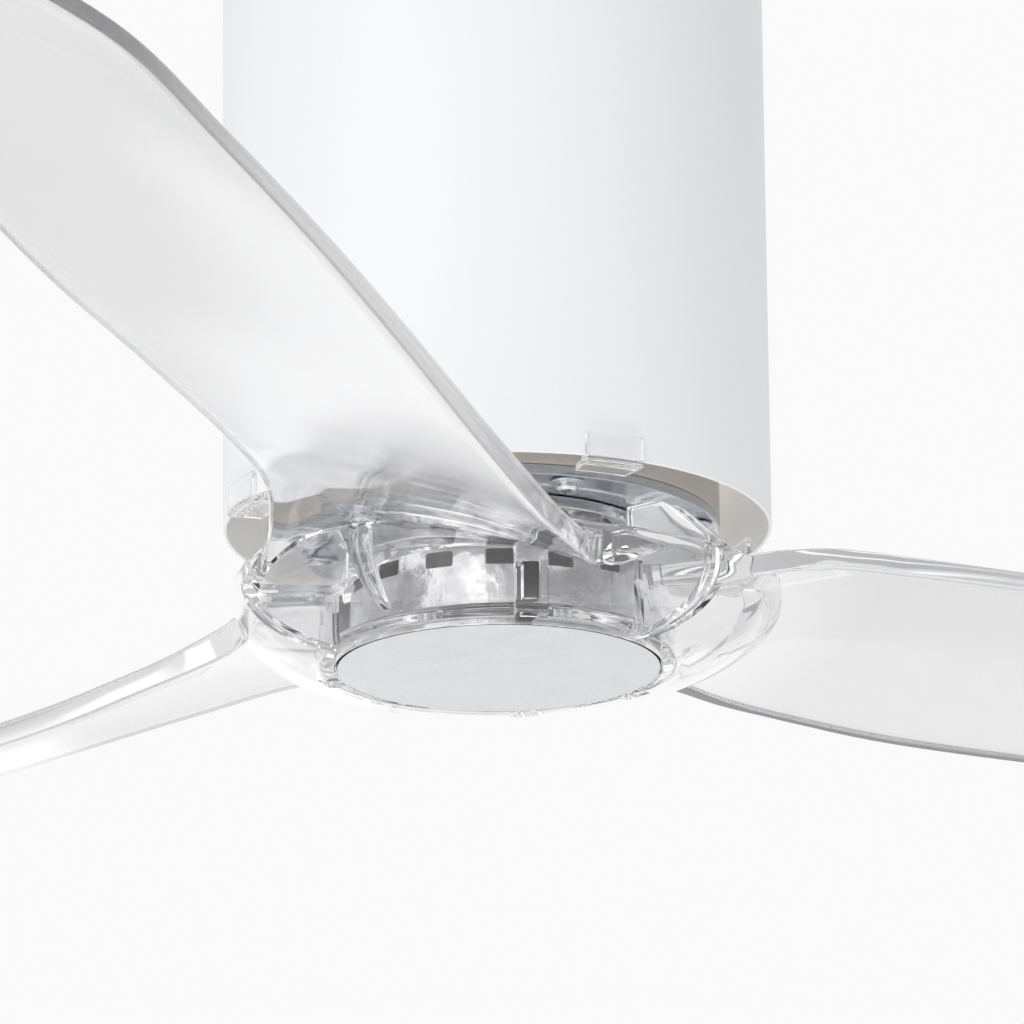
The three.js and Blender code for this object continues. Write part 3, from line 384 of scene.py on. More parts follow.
def lathe(name, outline, segments=FINE_ROUND, closed=True, start=0.0, sweep=360.0, turned_at=RIM):
    """Turns an outline of (radius, height) about the fan's axis; heights count from turned_at.

    An outline that isn't closed starts and ends on the axis. A turn of less than 360 degrees gets
    flat ends.
    """
    shape = bmesh.new()
    rings = []
    whole = sweep >= 360.0
    stations = segments if whole else segments + 1
    for i in range(stations):
        angle = math.radians(start + sweep * i / segments)
        sine, cosine = math.sin(angle), math.cos(angle)
        rings.append([
            shape.verts.new((r * cosine * MM, r * sine * MM, (z + turned_at) * MM))
            for r, z in outline
        ])
    count = len(outline)
    for i in range(segments):
        here, there = rings[i], rings[(i + 1) % stations]
        for j in range(count if closed else count - 1):
            k = (j + 1) % count
            shape.faces.new((here[j], there[j], there[k], here[k]))
    if not whole:
        shape.faces.new(rings[0])
        shape.faces.new(list(reversed(rings[-1])))
    bmesh.ops.remove_doubles(shape, verts=shape.verts, dist=1e-7)
    bmesh.ops.dissolve_degenerate(shape, edges=shape.edges, dist=1e-7)
    bmesh.ops.recalc_face_normals(shape, faces=shape.faces)
    return put_in_scene(name, shape)


def put_in_scene(name, shape):
    """Makes an object of a bmesh."""
    mesh = bpy.data.meshes.new(name)
    shape.to_mesh(mesh)
    shape.free()
    piece = bpy.data.objects.new(name, mesh)
    scene.collection.objects.link(piece)
    return piece


def smooth(piece, degrees=32.0):
    """Shades the piece smooth, with a crease where faces meet at more than so many degrees."""
    piece.data.shade_smooth()
    piece.data.set_sharp_from_angle(angle=math.radians(degrees))


white_paint = finish("white_gloss_paint", (0.845, 0.85, 0.86), 0.42, 260, tone=0.004, uneven=0.04,
                     bump=0.04, depth=0.02, specular_ior_level=0.35)
grey_primer = finish("grey_primer", (0.86, 0.855, 0.83), 0.5, 120, tone=0.05, uneven=0.08, bump=0.1,
                     stretch=(1, 1, 0.08))
inside = TUBE_RADIUS - TUBE_WALL
tube = lathe("white_tube", rounded([
    (inside, RIM), (TUBE_RADIUS, RIM), (TUBE_RADIUS, TUBE_TOP), (inside, TUBE_TOP),
], TUBE_EDGE), turned_at=0.0)
smooth(tube)
tube.data.materials.append(white_paint)
tube.data.materials.append(grey_primer)
for face in tube.data.polygons:
    if face.center.xy.length < (inside + HAIR) * MM:
        face.material_index = 1
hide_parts("tube_housing")
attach(tube, "housing")
dress(steel, "tube_screw_1", "tube_screw_2", "tube_screw_3")

# ---- Rim clips -----------------------------------------------------------------------------------
# Four clear plastic hooks snapped over the tube's lower rim: a tall lip outside, a shelf below the
# rim and a short lip inside.

CLIP_TURN = 24.4
CLIP_COUNT = 4
CLIP_ANGLE = 12.5
CLIP_SHELF_RADIUS = 80.5
CLIP_LIP = 2.0
CLIP_OUTER_LIP = 7.5                    # heights of the lips above the rim
CLIP_INNER_LIP = 5.0
CLIP_UNDERSIDE = -2.8
CLIP_ROUND = 0.5
CLIP_SOFT_EDGE = 0.35
GAP = 0.3                               # between parts that don't touch


def from_front(degrees):
    """An angle measured from the front towards +X, as degrees about Z."""
    return degrees - 90.0


clear_trim = finish("clear_trim", (0.975, 0.98, 0.985), 0.04, 300, tone=0.01, uneven=0.03,
                    bump=0.02, transmission_weight=1.0, ior=1.49)
clip_outer, clip_inner = TUBE_RADIUS + GAP, TUBE_RADIUS - TUBE_WALL - GAP
clip_outline = rounded([
    (CLIP_SHELF_RADIUS, CLIP_UNDERSIDE), (clip_outer + CLIP_LIP, CLIP_UNDERSIDE),
    (clip_outer + CLIP_LIP, CLIP_OUTER_LIP), (clip_outer, CLIP_OUTER_LIP), (clip_outer, -GAP),
    (clip_inner, -GAP), (clip_inner, CLIP_INNER_LIP), (clip_inner - CLIP_LIP, CLIP_INNER_LIP),
    (clip_inner - CLIP_LIP, -GAP), (CLIP_SHELF_RADIUS, -GAP),
], CLIP_ROUND)
for number in range(CLIP_COUNT):
    middle = from_front(CLIP_TURN + number * 360.0 / CLIP_COUNT)
    clip = lathe(f"clear_clip_{number + 1}", clip_outline, segments=16,
                 start=middle - CLIP_ANGLE / 2, sweep=CLIP_ANGLE)
    bevel = clip.modifiers.new("soft_edges", "BEVEL")
    bevel.width = CLIP_SOFT_EDGE * MM
    bevel.segments = 3
    bevel.limit_method = "ANGLE"
    bevel.angle_limit = math.radians(50)
    smooth(clip)
    clip.data.materials.append(clear_trim)
    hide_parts(f"rim_clip_{number + 1}")
    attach(clip, "housing")

# ---- Motor: fixed inside -------------------------------------------------------------------------
# A laminated core with copper windings sits on the stem between two ball bearings.

laminations = finish("laminated_iron", (0.20, 0.21, 0.22), 0.5, 900, tone=0.35, metallic=0.8,
                     bump=0.5, depth=0.1, stretch=(0.02, 0.02, 1))
copper = finish("enamelled_copper", (0.46, 0.17, 0.07), 0.32, 700, tone=0.35, metallic=0.9,
                bump=0.6, depth=0.2, stretch=(1, 1, 0.3))
magnet = finish("sintered_magnet", (0.035, 0.036, 0.04), 0.6, 1500, tone=0.3, bump=0.3, depth=0.04)
dress(laminations, "stator_core")
dress(copper, "winding_lower", "winding_upper")
dress(steel, "lower_bearing", "upper_bearing")
dress(magnet, "magnet_ring")

# ---- Motor case ----------------------------------------------------------------------------------
# The spinning pot round the motor, drawn from steel and painted dark brown-grey, with a wide collar
# at its foot and a cup for the upper bearing in its roof.

MOTOR_RADIUS = 67.0
MOTOR_HEIGHT = 58.0
CASE_WALL = 2.5
CASE_ROUND = 4.0
COLLAR_RADIUS = 73.0
COLLAR_TOP = 17.0
CASE_FOOT = 1.5                         # the lip that the flange is screwed to
CASE_LIP_TOP = 5.0
CASE_LIP_RADIUS = 59.0
CUP_RADIUS = 20.3                       # the upper bearing's cup
CUP_SEAT = 51.5
CUP_CEILING = 60.3
BOSS_RADIUS = 23.3
BOSS_TOP = 62.5
STEM_MOUTH = 12.5

dark_paint = finish("dark_case_paint", (0.44, 0.41, 0.38), 0.42, 900, tone=0.15, bump=0.2,
                    depth=0.03, worn=0.5)
case_roof, case_inside = MOTOR_HEIGHT - CASE_WALL, MOTOR_RADIUS - CASE_WALL
case = lathe("motor_pot", rounded([
    (CASE_LIP_RADIUS, CASE_FOOT), (COLLAR_RADIUS, CASE_FOOT),
    (COLLAR_RADIUS, COLLAR_TOP, CASE_ROUND), (MOTOR_RADIUS, COLLAR_TOP, 1.2),
    (MOTOR_RADIUS, MOTOR_HEIGHT, CASE_ROUND),
    (BOSS_RADIUS, MOTOR_HEIGHT), (BOSS_RADIUS, BOSS_TOP), (STEM_MOUTH, BOSS_TOP),
    (STEM_MOUTH, CUP_CEILING), (CUP_RADIUS, CUP_CEILING), (CUP_RADIUS, CUP_SEAT),
    (BOSS_RADIUS, CUP_SEAT), (BOSS_RADIUS, case_roof), (case_inside, case_roof),
    (case_inside, CASE_LIP_TOP), (CASE_LIP_RADIUS, CASE_LIP_TOP),
], 0.6), segments=160)
smooth(case)
case.data.materials.append(dark_paint)
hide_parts("motor_case")
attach(case, "rotor")

# ---- Motor flange --------------------------------------------------------------------------------
# A zinc-plated steel plate, turned on its underside, that closes the pot. A bright raised rim runs
# round it, with a shallow channel inside the rim for the screws.

FLANGE_RADIUS = COLLAR_RADIUS
FLANGE_TOP = 1.2
FLANGE_UNDERSIDE = -2.0
CHANNEL_ROOF = -1.4
CHANNEL_START = 60.0
CHANNEL_END = FLANGE_RADIUS - 1.4
FLANGE_BOSS_RADIUS = 23.8               # the lower bearing's cup stands up from the flange
FLANGE_BOSS_TOP = 15.0
BEARING_SEAT = 6.7
STEM_PIT = 13.0


def turned_finish(name, colour, roughness, rings):
    """A metal with fine lathe marks round the fan's axis."""
    made = finish(name, colour, roughness, 600, metallic=1.0, bump=0.12, depth=0.03)
    tree = made.node_tree
    surface = tree.nodes["Principled BSDF"]
    marks = tree.nodes.new("ShaderNodeTexWave")
    marks.wave_type = "RINGS"
    marks.rings_direction = "Z"
    marks.inputs["Scale"].default_value = rings
    marks.inputs["Distortion"].default_value = 0.6
    marks.inputs["Detail"].default_value = 2.0
    lines = tree.nodes.new("ShaderNodeBump")
    lines.inputs["Strength"].default_value = 0.12
    lines.inputs["Distance"].default_value = 0.02 * MM
    place = tree.nodes["Texture Coordinate"]
    tree.links.new(place.outputs["Object"], marks.inputs["Vector"])
    tree.links.new(marks.outputs["Fac"], lines.inputs["Height"])
    tree.links.new(tree.nodes["Bump"].outputs["Normal"], lines.inputs["Normal"])
    tree.links.new(lines.outputs["Normal"], surface.inputs["Normal"])
    return made


zinc = turned_finish("zinc_plate", (0.50, 0.525, 0.56), 0.24, 350)
flange = lathe("zinc_flange", rounded([
    (0.0, FLANGE_UNDERSIDE), (CHANNEL_START, FLANGE_UNDERSIDE), (CHANNEL_START + 0.3, CHANNEL_ROOF),
    (CHANNEL_END, CHANNEL_ROOF), (CHANNEL_END + 0.5, FLANGE_UNDERSIDE),
    (FLANGE_RADIUS, FLANGE_UNDERSIDE), (FLANGE_RADIUS, FLANGE_TOP),
    (FLANGE_BOSS_RADIUS, FLANGE_TOP), (FLANGE_BOSS_RADIUS, FLANGE_BOSS_TOP),
    (CUP_RADIUS, FLANGE_BOSS_TOP), (CUP_RADIUS, BEARING_SEAT),
    (STEM_PIT, BEARING_SEAT), (STEM_PIT, FLANGE_TOP), (0.0, FLANGE_TOP),
], 0.35, closed=False), segments=192, closed=False)
smooth(flange)
flange.data.materials.append(zinc)
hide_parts("motor_flange")
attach(flange, "rotor")

# ---- Flange screws -------------------------------------------------------------------------------
# Six pan-head screws with captive washers clamp the flange to the pot from below.

SCREW_CIRCLE = 65.7
SCREW_COUNT = 6
SCREW_TURN = 20.0
WASHER_RADIUS = 5.6
WASHER_TOP = -1.72
WASHER_UNDERSIDE = -2.6
HEAD_RADIUS = 3.9
HEAD_SHOULDER = -4.2
HEAD_FLAT = 2.9
HEAD_UNDERSIDE = -5.1
SHANK_RADIUS = 2.4
SHANK_TOP = 4.6
CROSS = (1.2, 0.55, 2.2)                # depth, half width and half length of the recess


def around_axis_tree():
    """Repeats the piece in equal steps round the fan's axis."""
    tree = bpy.data.node_groups.new("around_axis", "GeometryNodeTree")
    tree.interface.new_socket("Geometry", in_out="INPUT", socket_type="NodeSocketGeometry")
    tree.interface.new_socket("Count", in_out="INPUT", socket_type="NodeSocketInt")
    tree.interface.new_socket("Turn", in_out="INPUT", socket_type="NodeSocketFloat")
    tree.interface.new_socket("Material", in_out="INPUT", socket_type="NodeSocketMaterial")
    tree.interface.new_socket("Geometry", in_out="OUTPUT", socket_type="NodeSocketGeometry")
    given = tree.nodes.new("NodeGroupInput")
    result = tree.nodes.new("NodeGroupOutput")
    points = tree.nodes.new("GeometryNodePoints")
    number = tree.nodes.new("GeometryNodeInputIndex")
    pitch = tree.nodes.new("ShaderNodeMath")
    pitch.operation = "DIVIDE"
    pitch.inputs[0].default_value = 2 * math.pi
    angle = tree.nodes.new("ShaderNodeMath")
    angle.operation = "MULTIPLY_ADD"
    about = tree.nodes.new("ShaderNodeCombineXYZ")
    rotation = tree.nodes.new("FunctionNodeEulerToRotation")
    copies = tree.nodes.new("GeometryNodeInstanceOnPoints")
    real = tree.nodes.new("GeometryNodeRealizeInstances")
    coat = tree.nodes.new("GeometryNodeSetMaterial")
    join = tree.links.new
    join(given.outputs["Count"], points.inputs["Count"])
    join(given.outputs["Count"], pitch.inputs[1])
    join(number.outputs["Index"], angle.inputs[0])
    join(pitch.outputs["Value"], angle.inputs[1])
    join(given.outputs["Turn"], angle.inputs[2])
    join(angle.outputs["Value"], about.inputs["Z"])
    join(about.outputs["Vector"], rotation.inputs["Euler"])
    join(points.outputs[0], copies.inputs["Points"])
    join(given.outputs["Geometry"], copies.inputs["Instance"])
    join(rotation.outputs["Rotation"], copies.inputs["Rotation"])
    join(copies.outputs["Instances"], real.inputs["Geometry"])
    join(real.outputs["Geometry"], coat.inputs["Geometry"])
    join(given.outputs["Material"], coat.inputs["Material"])
    join(coat.outputs["Geometry"], result.inputs["Geometry"])
    return tree


AROUND_AXIS = around_axis_tree()


def bake_modifiers(piece):
    """Turns what the modifiers make into the piece's own plain mesh."""
    evaluated = piece.evaluated_get(bpy.context.evaluated_depsgraph_get())
    mesh = bpy.data.meshes.new_from_object(evaluated)
    piece.modifiers.clear()
    piece.data = mesh
    mesh.name = piece.name


def repeat_around(piece, count, turn, material):
    """Replaces the piece by its copies round the axis, the first one turned by so many degrees."""
    maker = piece.modifiers.new("repeat", "NODES")
    maker.node_group = AROUND_AXIS
    sockets = {
        item.name: item.identifier
        for item in AROUND_AXIS.interface.items_tree if item.in_out == "INPUT"
    }
    maker[sockets["Count"]] = count
    maker[sockets["Turn"]] = math.radians(turn)
    maker[sockets["Material"]] = material
    bake_modifiers(piece)


def combine(piece, tool, operation):
    """Joins, cuts or meets two closed meshes, and removes the second one."""
    change = piece.modifiers.new(operation, "BOOLEAN")
    change.operation = operation
    change.solver = "MANIFOLD"
    change.object = tool
    bake_modifiers(piece)
    bpy.data.objects.remove(tool)


def subtract(piece, tool):
    """Cuts a closed mesh out of another one."""
    combine(piece, tool, "DIFFERENCE")


def screw(name, outline, place, cross):
    """A turned screw at a distance from the axis, with a cross cut in its head."""
    piece = lathe(name, outline, segments=40, closed=False)
    deep, wide, half = cross
    face_of_head = Matrix.Translation((0, 0, (min(z for _, z in outline) + RIM) * MM))
    cutter = bmesh.new()
    for across, along in ((wide, half), (half, wide)):
        bmesh.ops.create_cube(cutter, size=1.0, matrix=face_of_head @ Matrix.Diagonal(
            (2 * along * MM, 2 * across * MM, 2 * deep * MM, 1)))
    subtract(piece, put_in_scene(name + "_recess", cutter))
    smooth(piece)
    piece.data.transform(Matrix.Translation((place * MM, 0, 0)))
    return piece


head_steel = finish("screw_steel", (0.66, 0.67, 0.69), 0.24, 1500, metallic=1.0, worn=0.3)
screws = screw("flange_screws", rounded([
    (0, HEAD_UNDERSIDE), (HEAD_FLAT, HEAD_UNDERSIDE), (HEAD_RADIUS, HEAD_SHOULDER),
    (HEAD_RADIUS, WASHER_UNDERSIDE), (WASHER_RADIUS, WASHER_UNDERSIDE), (WASHER_RADIUS, WASHER_TOP),
    (SHANK_RADIUS, WASHER_TOP), (SHANK_RADIUS, SHANK_TOP), (0, SHANK_TOP),
], 0.3, closed=False), SCREW_CIRCLE, CROSS)
repeat_around(screws, SCREW_COUNT, from_front(SCREW_TURN), head_steel)
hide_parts(*[f"flange_screw_{i + 1}" for i in range(SCREW_COUNT)])
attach(screws, "rotor")

# ---- Hub core ------------------------------------------------------------------------------------
# A die-cast aluminium drum under the flange carries the three blades. Pockets round its side keep
# its walls even, and its open lower end takes the cap's spring skirt.

CORE_RADIUS = 47.0
CORE_TOP = -2.3
CORE_FOOT_RADIUS = 52.0
CORE_FOOT_EDGE = -6.0
CORE_NECK = -8.0
CORE_BORE = 24.0
CORE_BORE_ROOF = -12.0
CORE_UNDERSIDE = -40.2
CORE_POCKETS = 15
CORE_POCKET_TURN = 8.3                  # first pocket, degrees from the first blade
LOW_POCKET = [(41.0, 52.0), (-4.6, 4.6), (-26.0, -20.0)]
HIGH_POCKET = [(44.0, 56.0), (-4.0, 4.0), (-14.0, -7.0)]
POCKET_ROUND = 0.8
# The next two spans find the low pockets' faces, which get a near-black painted shade.
LOW_POCKET_REACH = (40.0, 46.7)         # only the low pockets' faces lie this far from the axis
LOW_POCKET_HEIGHTS = (-39.2, -17.0)     # and at these heights
BLADE_TURN = -7.8
SLOT_ANGLE = 18.0


def rounded_block(shape, spans, radius, angle):
    """Adds a block with rounded edges to a bmesh, turned to an angle about the fan's axis.

    spans are (low, high) away from the axis, across, and up from the rim.
    """
    out, across, up = spans
    spans = (out, across, [RIM + height for height in up])
    middle = [(low + high) / 2 * MM for low, high in spans]
    size = [(high - low) * MM for low, high in spans]
    turn = Matrix.Rotation(math.radians(angle), 4, "Z")
    made = bmesh.ops.create_cube(
        shape, size=1.0, matrix=turn @ Matrix.Translation(middle) @ Matrix.Diagonal(size + [1]))
    edges = {edge for vert in made["verts"] for edge in vert.link_edges}
    bmesh.ops.bevel(shape, geom=list(edges), offset=radius * MM, segments=3, profile=0.5,
                    affect="EDGES", clamp_overlap=True)


cast_bright = finish("die_cast_aluminium", (0.76, 0.76, 0.77), 0.18, 190, tone=0.6, uneven=0.10,
                     metallic=1.0, bump=0.8, depth=0.7, worn=0.2)
# A near-black painted shade for the low pockets, so that they read as deep, shaded hollows.
pocket_shade = finish("painted_pocket_shade", (0.012, 0.012, 0.013), 0.8, 900, tone=0.3, bump=0.3, depth=0.1,
                   specular_ior_level=0.2)
core = lathe("die_cast_core", rounded([
    (0, CORE_BORE_ROOF), (CORE_BORE, CORE_BORE_ROOF), (CORE_BORE, CORE_UNDERSIDE),
    (CORE_RADIUS, CORE_UNDERSIDE, 1.2), (CORE_RADIUS, CORE_NECK, 1.5),
    (CORE_FOOT_RADIUS, CORE_FOOT_EDGE), (CORE_FOOT_RADIUS, CORE_TOP), (0, CORE_TOP),
], 0.6, closed=False), segments=160, closed=False)
pockets = bmesh.new()
for number in range(CORE_POCKETS):
    angle = from_front(BLADE_TURN + CORE_POCKET_TURN) + number * 360.0 / CORE_POCKETS
    rounded_block(pockets, LOW_POCKET, POCKET_ROUND, angle)
    rounded_block(pockets, HIGH_POCKET, POCKET_ROUND, angle)
subtract(core, put_in_scene("pocket_cutter", pockets))
smooth(core)
core.data.materials.clear()
core.data.materials.append(cast_bright)
core.data.materials.append(pocket_shade)
# Faces inside the low pockets take the painted shade.
for face in core.data.polygons:
    out, height = face.center.xy.length / MM, face.center.z / MM - RIM
    if (LOW_POCKET_REACH[0] < out < LOW_POCKET_REACH[1]
            and LOW_POCKET_HEIGHTS[0] < height < LOW_POCKET_HEIGHTS[1]):
        face.material_index = 1
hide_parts("hub_core")
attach(core, "rotor")
dress(steel, "core_screw_1", "core_screw_2", "core_screw_3")

# ---- Root pads -----------------------------------------------------------------------------------
# Black rubber keys stand on the core's side and fill the slot in each blade root, so that the
# blades can't rattle.

BLADE_COUNT = 3
PAD_SPANS = [(47.3, 60.0), (-2.5, 2.5), (-39.0, -27.5)]
PAD_ROUND = 0.5
# The same black also covers the cap's edge and back, as painted shade that keeps the gap round the
# cap dark.
rubber_and_gap_shade = finish("black_rubber", (0.006, 0.006, 0.007), 0.75, 900, tone=0.3, bump=0.3, depth=0.05,
                specular_ior_level=0.15)
for number in range(BLADE_COUNT):
    angle = from_front(BLADE_TURN + SLOT_ANGLE + number * 120.0)
    shape = bmesh.new()
    rounded_block(shape, PAD_SPANS, PAD_ROUND, angle)
    pad = put_in_scene(f"rubber_key_{number + 1}", shape)
    smooth(pad)
    pad.data.materials.append(rubber_and_gap_shade)
    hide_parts(f"root_pad_{number + 1}")
    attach(pad, "rotor")

# ---- Blades --------------------------------------------------------------------------------------
# Three clear mouldings. Each is a long twisted paddle in one with a third of the hollow hub: the
# barrel's skin, radial walls, an inner wall and the land that two screws clamp under the core.

BLADE_ROWS = 180
BLADE_CROWDING = 1.15                   # over 1, the rows stand closer together at the tip
BLADE_COLUMNS = 20
BLADE_REACH = 640.0
BLADE_ROOT_THICKNESS = 7.6
BLADE_TIP_THICKNESS = 4.6
BLADE_THINS_FROM = 130.0
BLADE_CAMBER = 4.0                      # in full where the blade is at least this wide:
BLADE_CAMBER_WIDTH = 100.0
BLADE_EDGE = 1.3                        # radius of the edges, and the least at the tip's last row
BLADE_LEAST_EDGE = 0.15
ROOT_CAMBER = 4.0                       # more camber where the paddle meets the inner wall
ROOT_CAMBER_SPAN = (58.0, 100.0)        # in full up to here, and gone from there, as the next two
ROOT_SWELL = 0.45                       # the low edge thickens by this share towards the hub
ROOT_SWELL_SPAN = (65.0, 120.0)
ROOT_LEAF = 1.3                         # and then thins by this share to a leaf's point
ROOT_LEAF_SPAN = (43.6, 64.0)
HUB_FLOOR = -47.0                       # underside of the clear ring round the cap
HUB_FLOOR_RADIUS = 52.5                 # the underside curves up from here
BELLY_RADIUS = 89.5                     # widest ring of the barrel
BELLY_HEIGHT = -26.0
SIDE_START = 12.0                       # degrees of the side's quarter ellipse, up to 90
LOBE = 3.5                              # the barrel swells by this much before each blade
LOBE_TURN = -30.0                       # degrees from the blade
LOBE_START = 60.0                       # the lobes begin at this distance from the axis
HUB_SKIN = 3.4
HUB_BOWL_TOP = -20.5
HUB_INNER_RADIUS = 54.0
HUB_INNER_TOP = -20.0
HUB_LAND_TOP = -40.5
HUB_LAND_UNDERSIDE = -44.5
HUB_LAND_RADIUS = 27.0
SEAM_LOW = -59.0                        # each moulding's share of the hub, degrees from its blade
SEAM_HIGH = 61.0
END_WALL_ANGLES = (-56.7, 58.6)
END_WALL_THICKNESS = 3.2
END_WALL_TOP = -2.8
END_WALL_SHOULDER = 70.4
END_WALL_ROUND = 12.0
RIB_ANGLE = -22.7                       # crescent rib under the paddle
RIB_THICKNESS = 3.4
RIB_TOP = -13.5
RIB_DEPTH = 12.0
RIB_ROUND = 4.0
SLOT_WIDTH = 5.6
SLOT_RIB = 2.6
SLOT_DEPTH = 7.0
SUNK = 0.4                              # a wall's edge sits this far inside the skin it joins
WALL_ROUND = 0.5
BLADE_SCREW_CIRCLE = 38.0
BLADE_SCREW_ANGLES = (-24.0, 36.0)
BLADE_SCREW_HOLE = 2.8                  # radii
BLADE_SCREW_SINK = 4.7
BLADE_SINK_ROOF = -42.1
CAP_RADIUS = 53.0
HUB_SPACE = (-80.0, 20.0)               # heights that clear the whole hub
HUB_COLOUR = (0.97, 0.97, 0.973)        # near the axis, and from here to there it turns
HUB_COLOUR_SPAN = (85.0, 125.0)         # into the paddle's colour
PADDLE_COLOUR = (0.83, 0.83, 0.837)
PADDLE_ROUGHNESS = 0.15                 # the hub's polish softens to this
PADDLE_ROUGHNESS_SPAN = (125.0, 215.0)  # over this stretch
LIGHT_LOSS = 0.7                        # how dense the plastic is to light, for each metre

# The paddle's two long edges with the blade along +X: (out, across, height), root first.
HIGH_EDGE = [
    (33, -78.8, -33.4), (61, -68.5, -24), (92, -60.5, -16.3), (130, -56, -14.8), (180, -58, -16.5),
    (270, -69, -18.2), (360, -84, -17.6), (450, -95, -14.6), (540, -98, -11.8), (604, -92, -13.5),
    (631, -79, -17.5), (BLADE_REACH, -62, -22.5),
]
LOW_EDGE = [
    (43.6, 61, -21.6), (59.4, 51, -25.3), (76.5, 43, -30.4), (98, 43, -36), (128, 42.5, -40.8),
    (160, 41, -44.6), (265, 34, -49.8), (360, 26, -50.9), (450, 16, -50.2), (540, 2, -47.7),
    (608, -12, -43.5), (632, -27, -38), (BLADE_REACH, -42, -30.5),
]


def curve_point(points, along):
    """A point on a smooth curve through the points, with along from 0 to 1."""
    spot = (len(points) - 1) * along
    i = min(int(spot), len(points) - 2)
    t = spot - i
    b, c = Vector(points[i]), Vector(points[i + 1])
    a = Vector(points[i - 1]) if i > 0 else 2 * b - c
    d = Vector(points[i + 2]) if i + 2 < len(points) else 2 * c - b
    ab, bc, cd = (b - a).length ** 0.5, (c - b).length ** 0.5, (d - c).length ** 0.5
    leave = ((b - a) / ab - (c - a) / (ab + bc) + (c - b) / bc) * bc
    arrive = ((c - b) / bc - (d - b) / (bc + cd) + (d - c) / cd) * bc
    square, cube = 3 * (c - b) - 2 * leave - arrive, 2 * (b - c) + leave + arrive
    return b + leave * t + square * t ** 2 + cube * t ** 3


def smoothstep(value, low, high):
    """Runs softly from 0 at low to 1 at high."""
    t = min(max((value - low) / (high - low), 0.0), 1.0)
    return t * t * (3 - 2 * t)


def section_ring(width, thickness, arch, swell, inset):
    """One cross-section: (distance from the high edge, height), with rounded corners."""
    edge = max(BLADE_EDGE - inset, BLADE_LEAST_EDGE)
    half = thickness / 2 - inset
    ring = []
    for side in (1, -1):
        low, high = inset + edge, width - inset - edge
        steps = [low + (high - low) * i / BLADE_COLUMNS for i in range(BLADE_COLUMNS + 1)]
        if side < 0:
            steps.reverse()
        ring += [(s, side * half) for s in steps]
        for i in (1, 2, 3, 4, 5, -4, -3, -2, -1):
            angle = math.radians(90 - 18 * abs(i))
            out = edge * math.cos(angle)
            up = (half - edge) + edge * math.sin(angle)
            ring.append((steps[-1] + side * out, side * math.copysign(up, i)))
    bowed = []
    for s, h in ring:
        share = s / width
        bowed.append((s, h * (1 + swell * share ** 2) + arch * 4 * share * (1 - share)))
    return bowed


def paddle():
    """The paddle between its two edges, row by row, with a rounded edge round its tip."""
    rings = []
    rows = [1 - row / BLADE_ROWS for row in range(BLADE_ROWS + 1)]
    stations = [(1 - left ** BLADE_CROWDING, 0.0, 0.0) for left in rows]
    for i in range(1, 5):
        angle = math.radians(22.5 * i)
        stations.append((1.0, BLADE_EDGE * (1 - math.cos(angle)), BLADE_EDGE * math.sin(angle)))
    for along, inset, ahead in stations:
        start, end = curve_point(HIGH_EDGE, along), curve_point(LOW_EDGE, along)
        step = 1e-3
        back, front = max(along - step, 0.0), min(along + step, 1.0)
        run = (curve_point(HIGH_EDGE, front) - curve_point(HIGH_EDGE, back)).normalized()
        run += (curve_point(LOW_EDGE, front) - curve_point(LOW_EDGE, back)).normalized()
        chord = end - start
        up = run.cross(chord).normalized()
        onward = chord.cross(up).normalized()
        middle = (start.x + end.x) / 2
        thinned = smoothstep(middle, BLADE_THINS_FROM, BLADE_REACH)
        thickness = BLADE_ROOT_THICKNESS + (BLADE_TIP_THICKNESS - BLADE_ROOT_THICKNESS) * thinned
        arch = BLADE_CAMBER * min(chord.length / BLADE_CAMBER_WIDTH, 1.0)
        arch += ROOT_CAMBER * (1 - smoothstep(middle, *ROOT_CAMBER_SPAN))
        swell = ROOT_SWELL * (1 - smoothstep(end.x, *ROOT_SWELL_SPAN))
        swell -= ROOT_LEAF * (1 - smoothstep(end.x, *ROOT_LEAF_SPAN))
        across = chord.normalized()
        rings.append([
            start + across * s + up * h + onward * ahead
            for s, h in section_ring(chord.length, thickness, arch, swell, inset)
        ])
    shape = bmesh.new()
    made = [[shape.verts.new((p + Vector((0, 0, RIM))) * MM) for p in ring] for ring in rings]
    count = len(made[0])
    for here, there in zip(made, made[1:]):
        for i in range(count):
            j = (i + 1) % count
            shape.faces.new((here[i], here[j], there[j], there[i]))
    shape.faces.new(list(reversed(made[0])))
    shape.faces.new(made[-1])
    bmesh.ops.recalc_face_normals(shape, faces=shape.faces)
    return put_in_scene("paddle", shape)


def lobe_at(degrees):
    """How much the barrel swells at an angle, in degrees from the blade."""
    return LOBE * math.cos(math.radians(BLADE_COUNT * (degrees - LOBE_TURN)))


def barrel_side(drawn_in, belly, steps):
    """The barrel's side from its floor to its belly: a quarter ellipse, drawn in by a distance."""
    across = belly - drawn_in - HUB_FLOOR_RADIUS
    down = BELLY_HEIGHT - HUB_FLOOR - drawn_in
    climb = 90 - SIDE_START
    angles = [math.radians(SIDE_START + climb * i / steps) for i in range(steps + 1)]
    return [
        (HUB_FLOOR_RADIUS + across * math.sin(angle), BELLY_HEIGHT - down * math.cos(angle), 0)
        for angle in angles
    ]


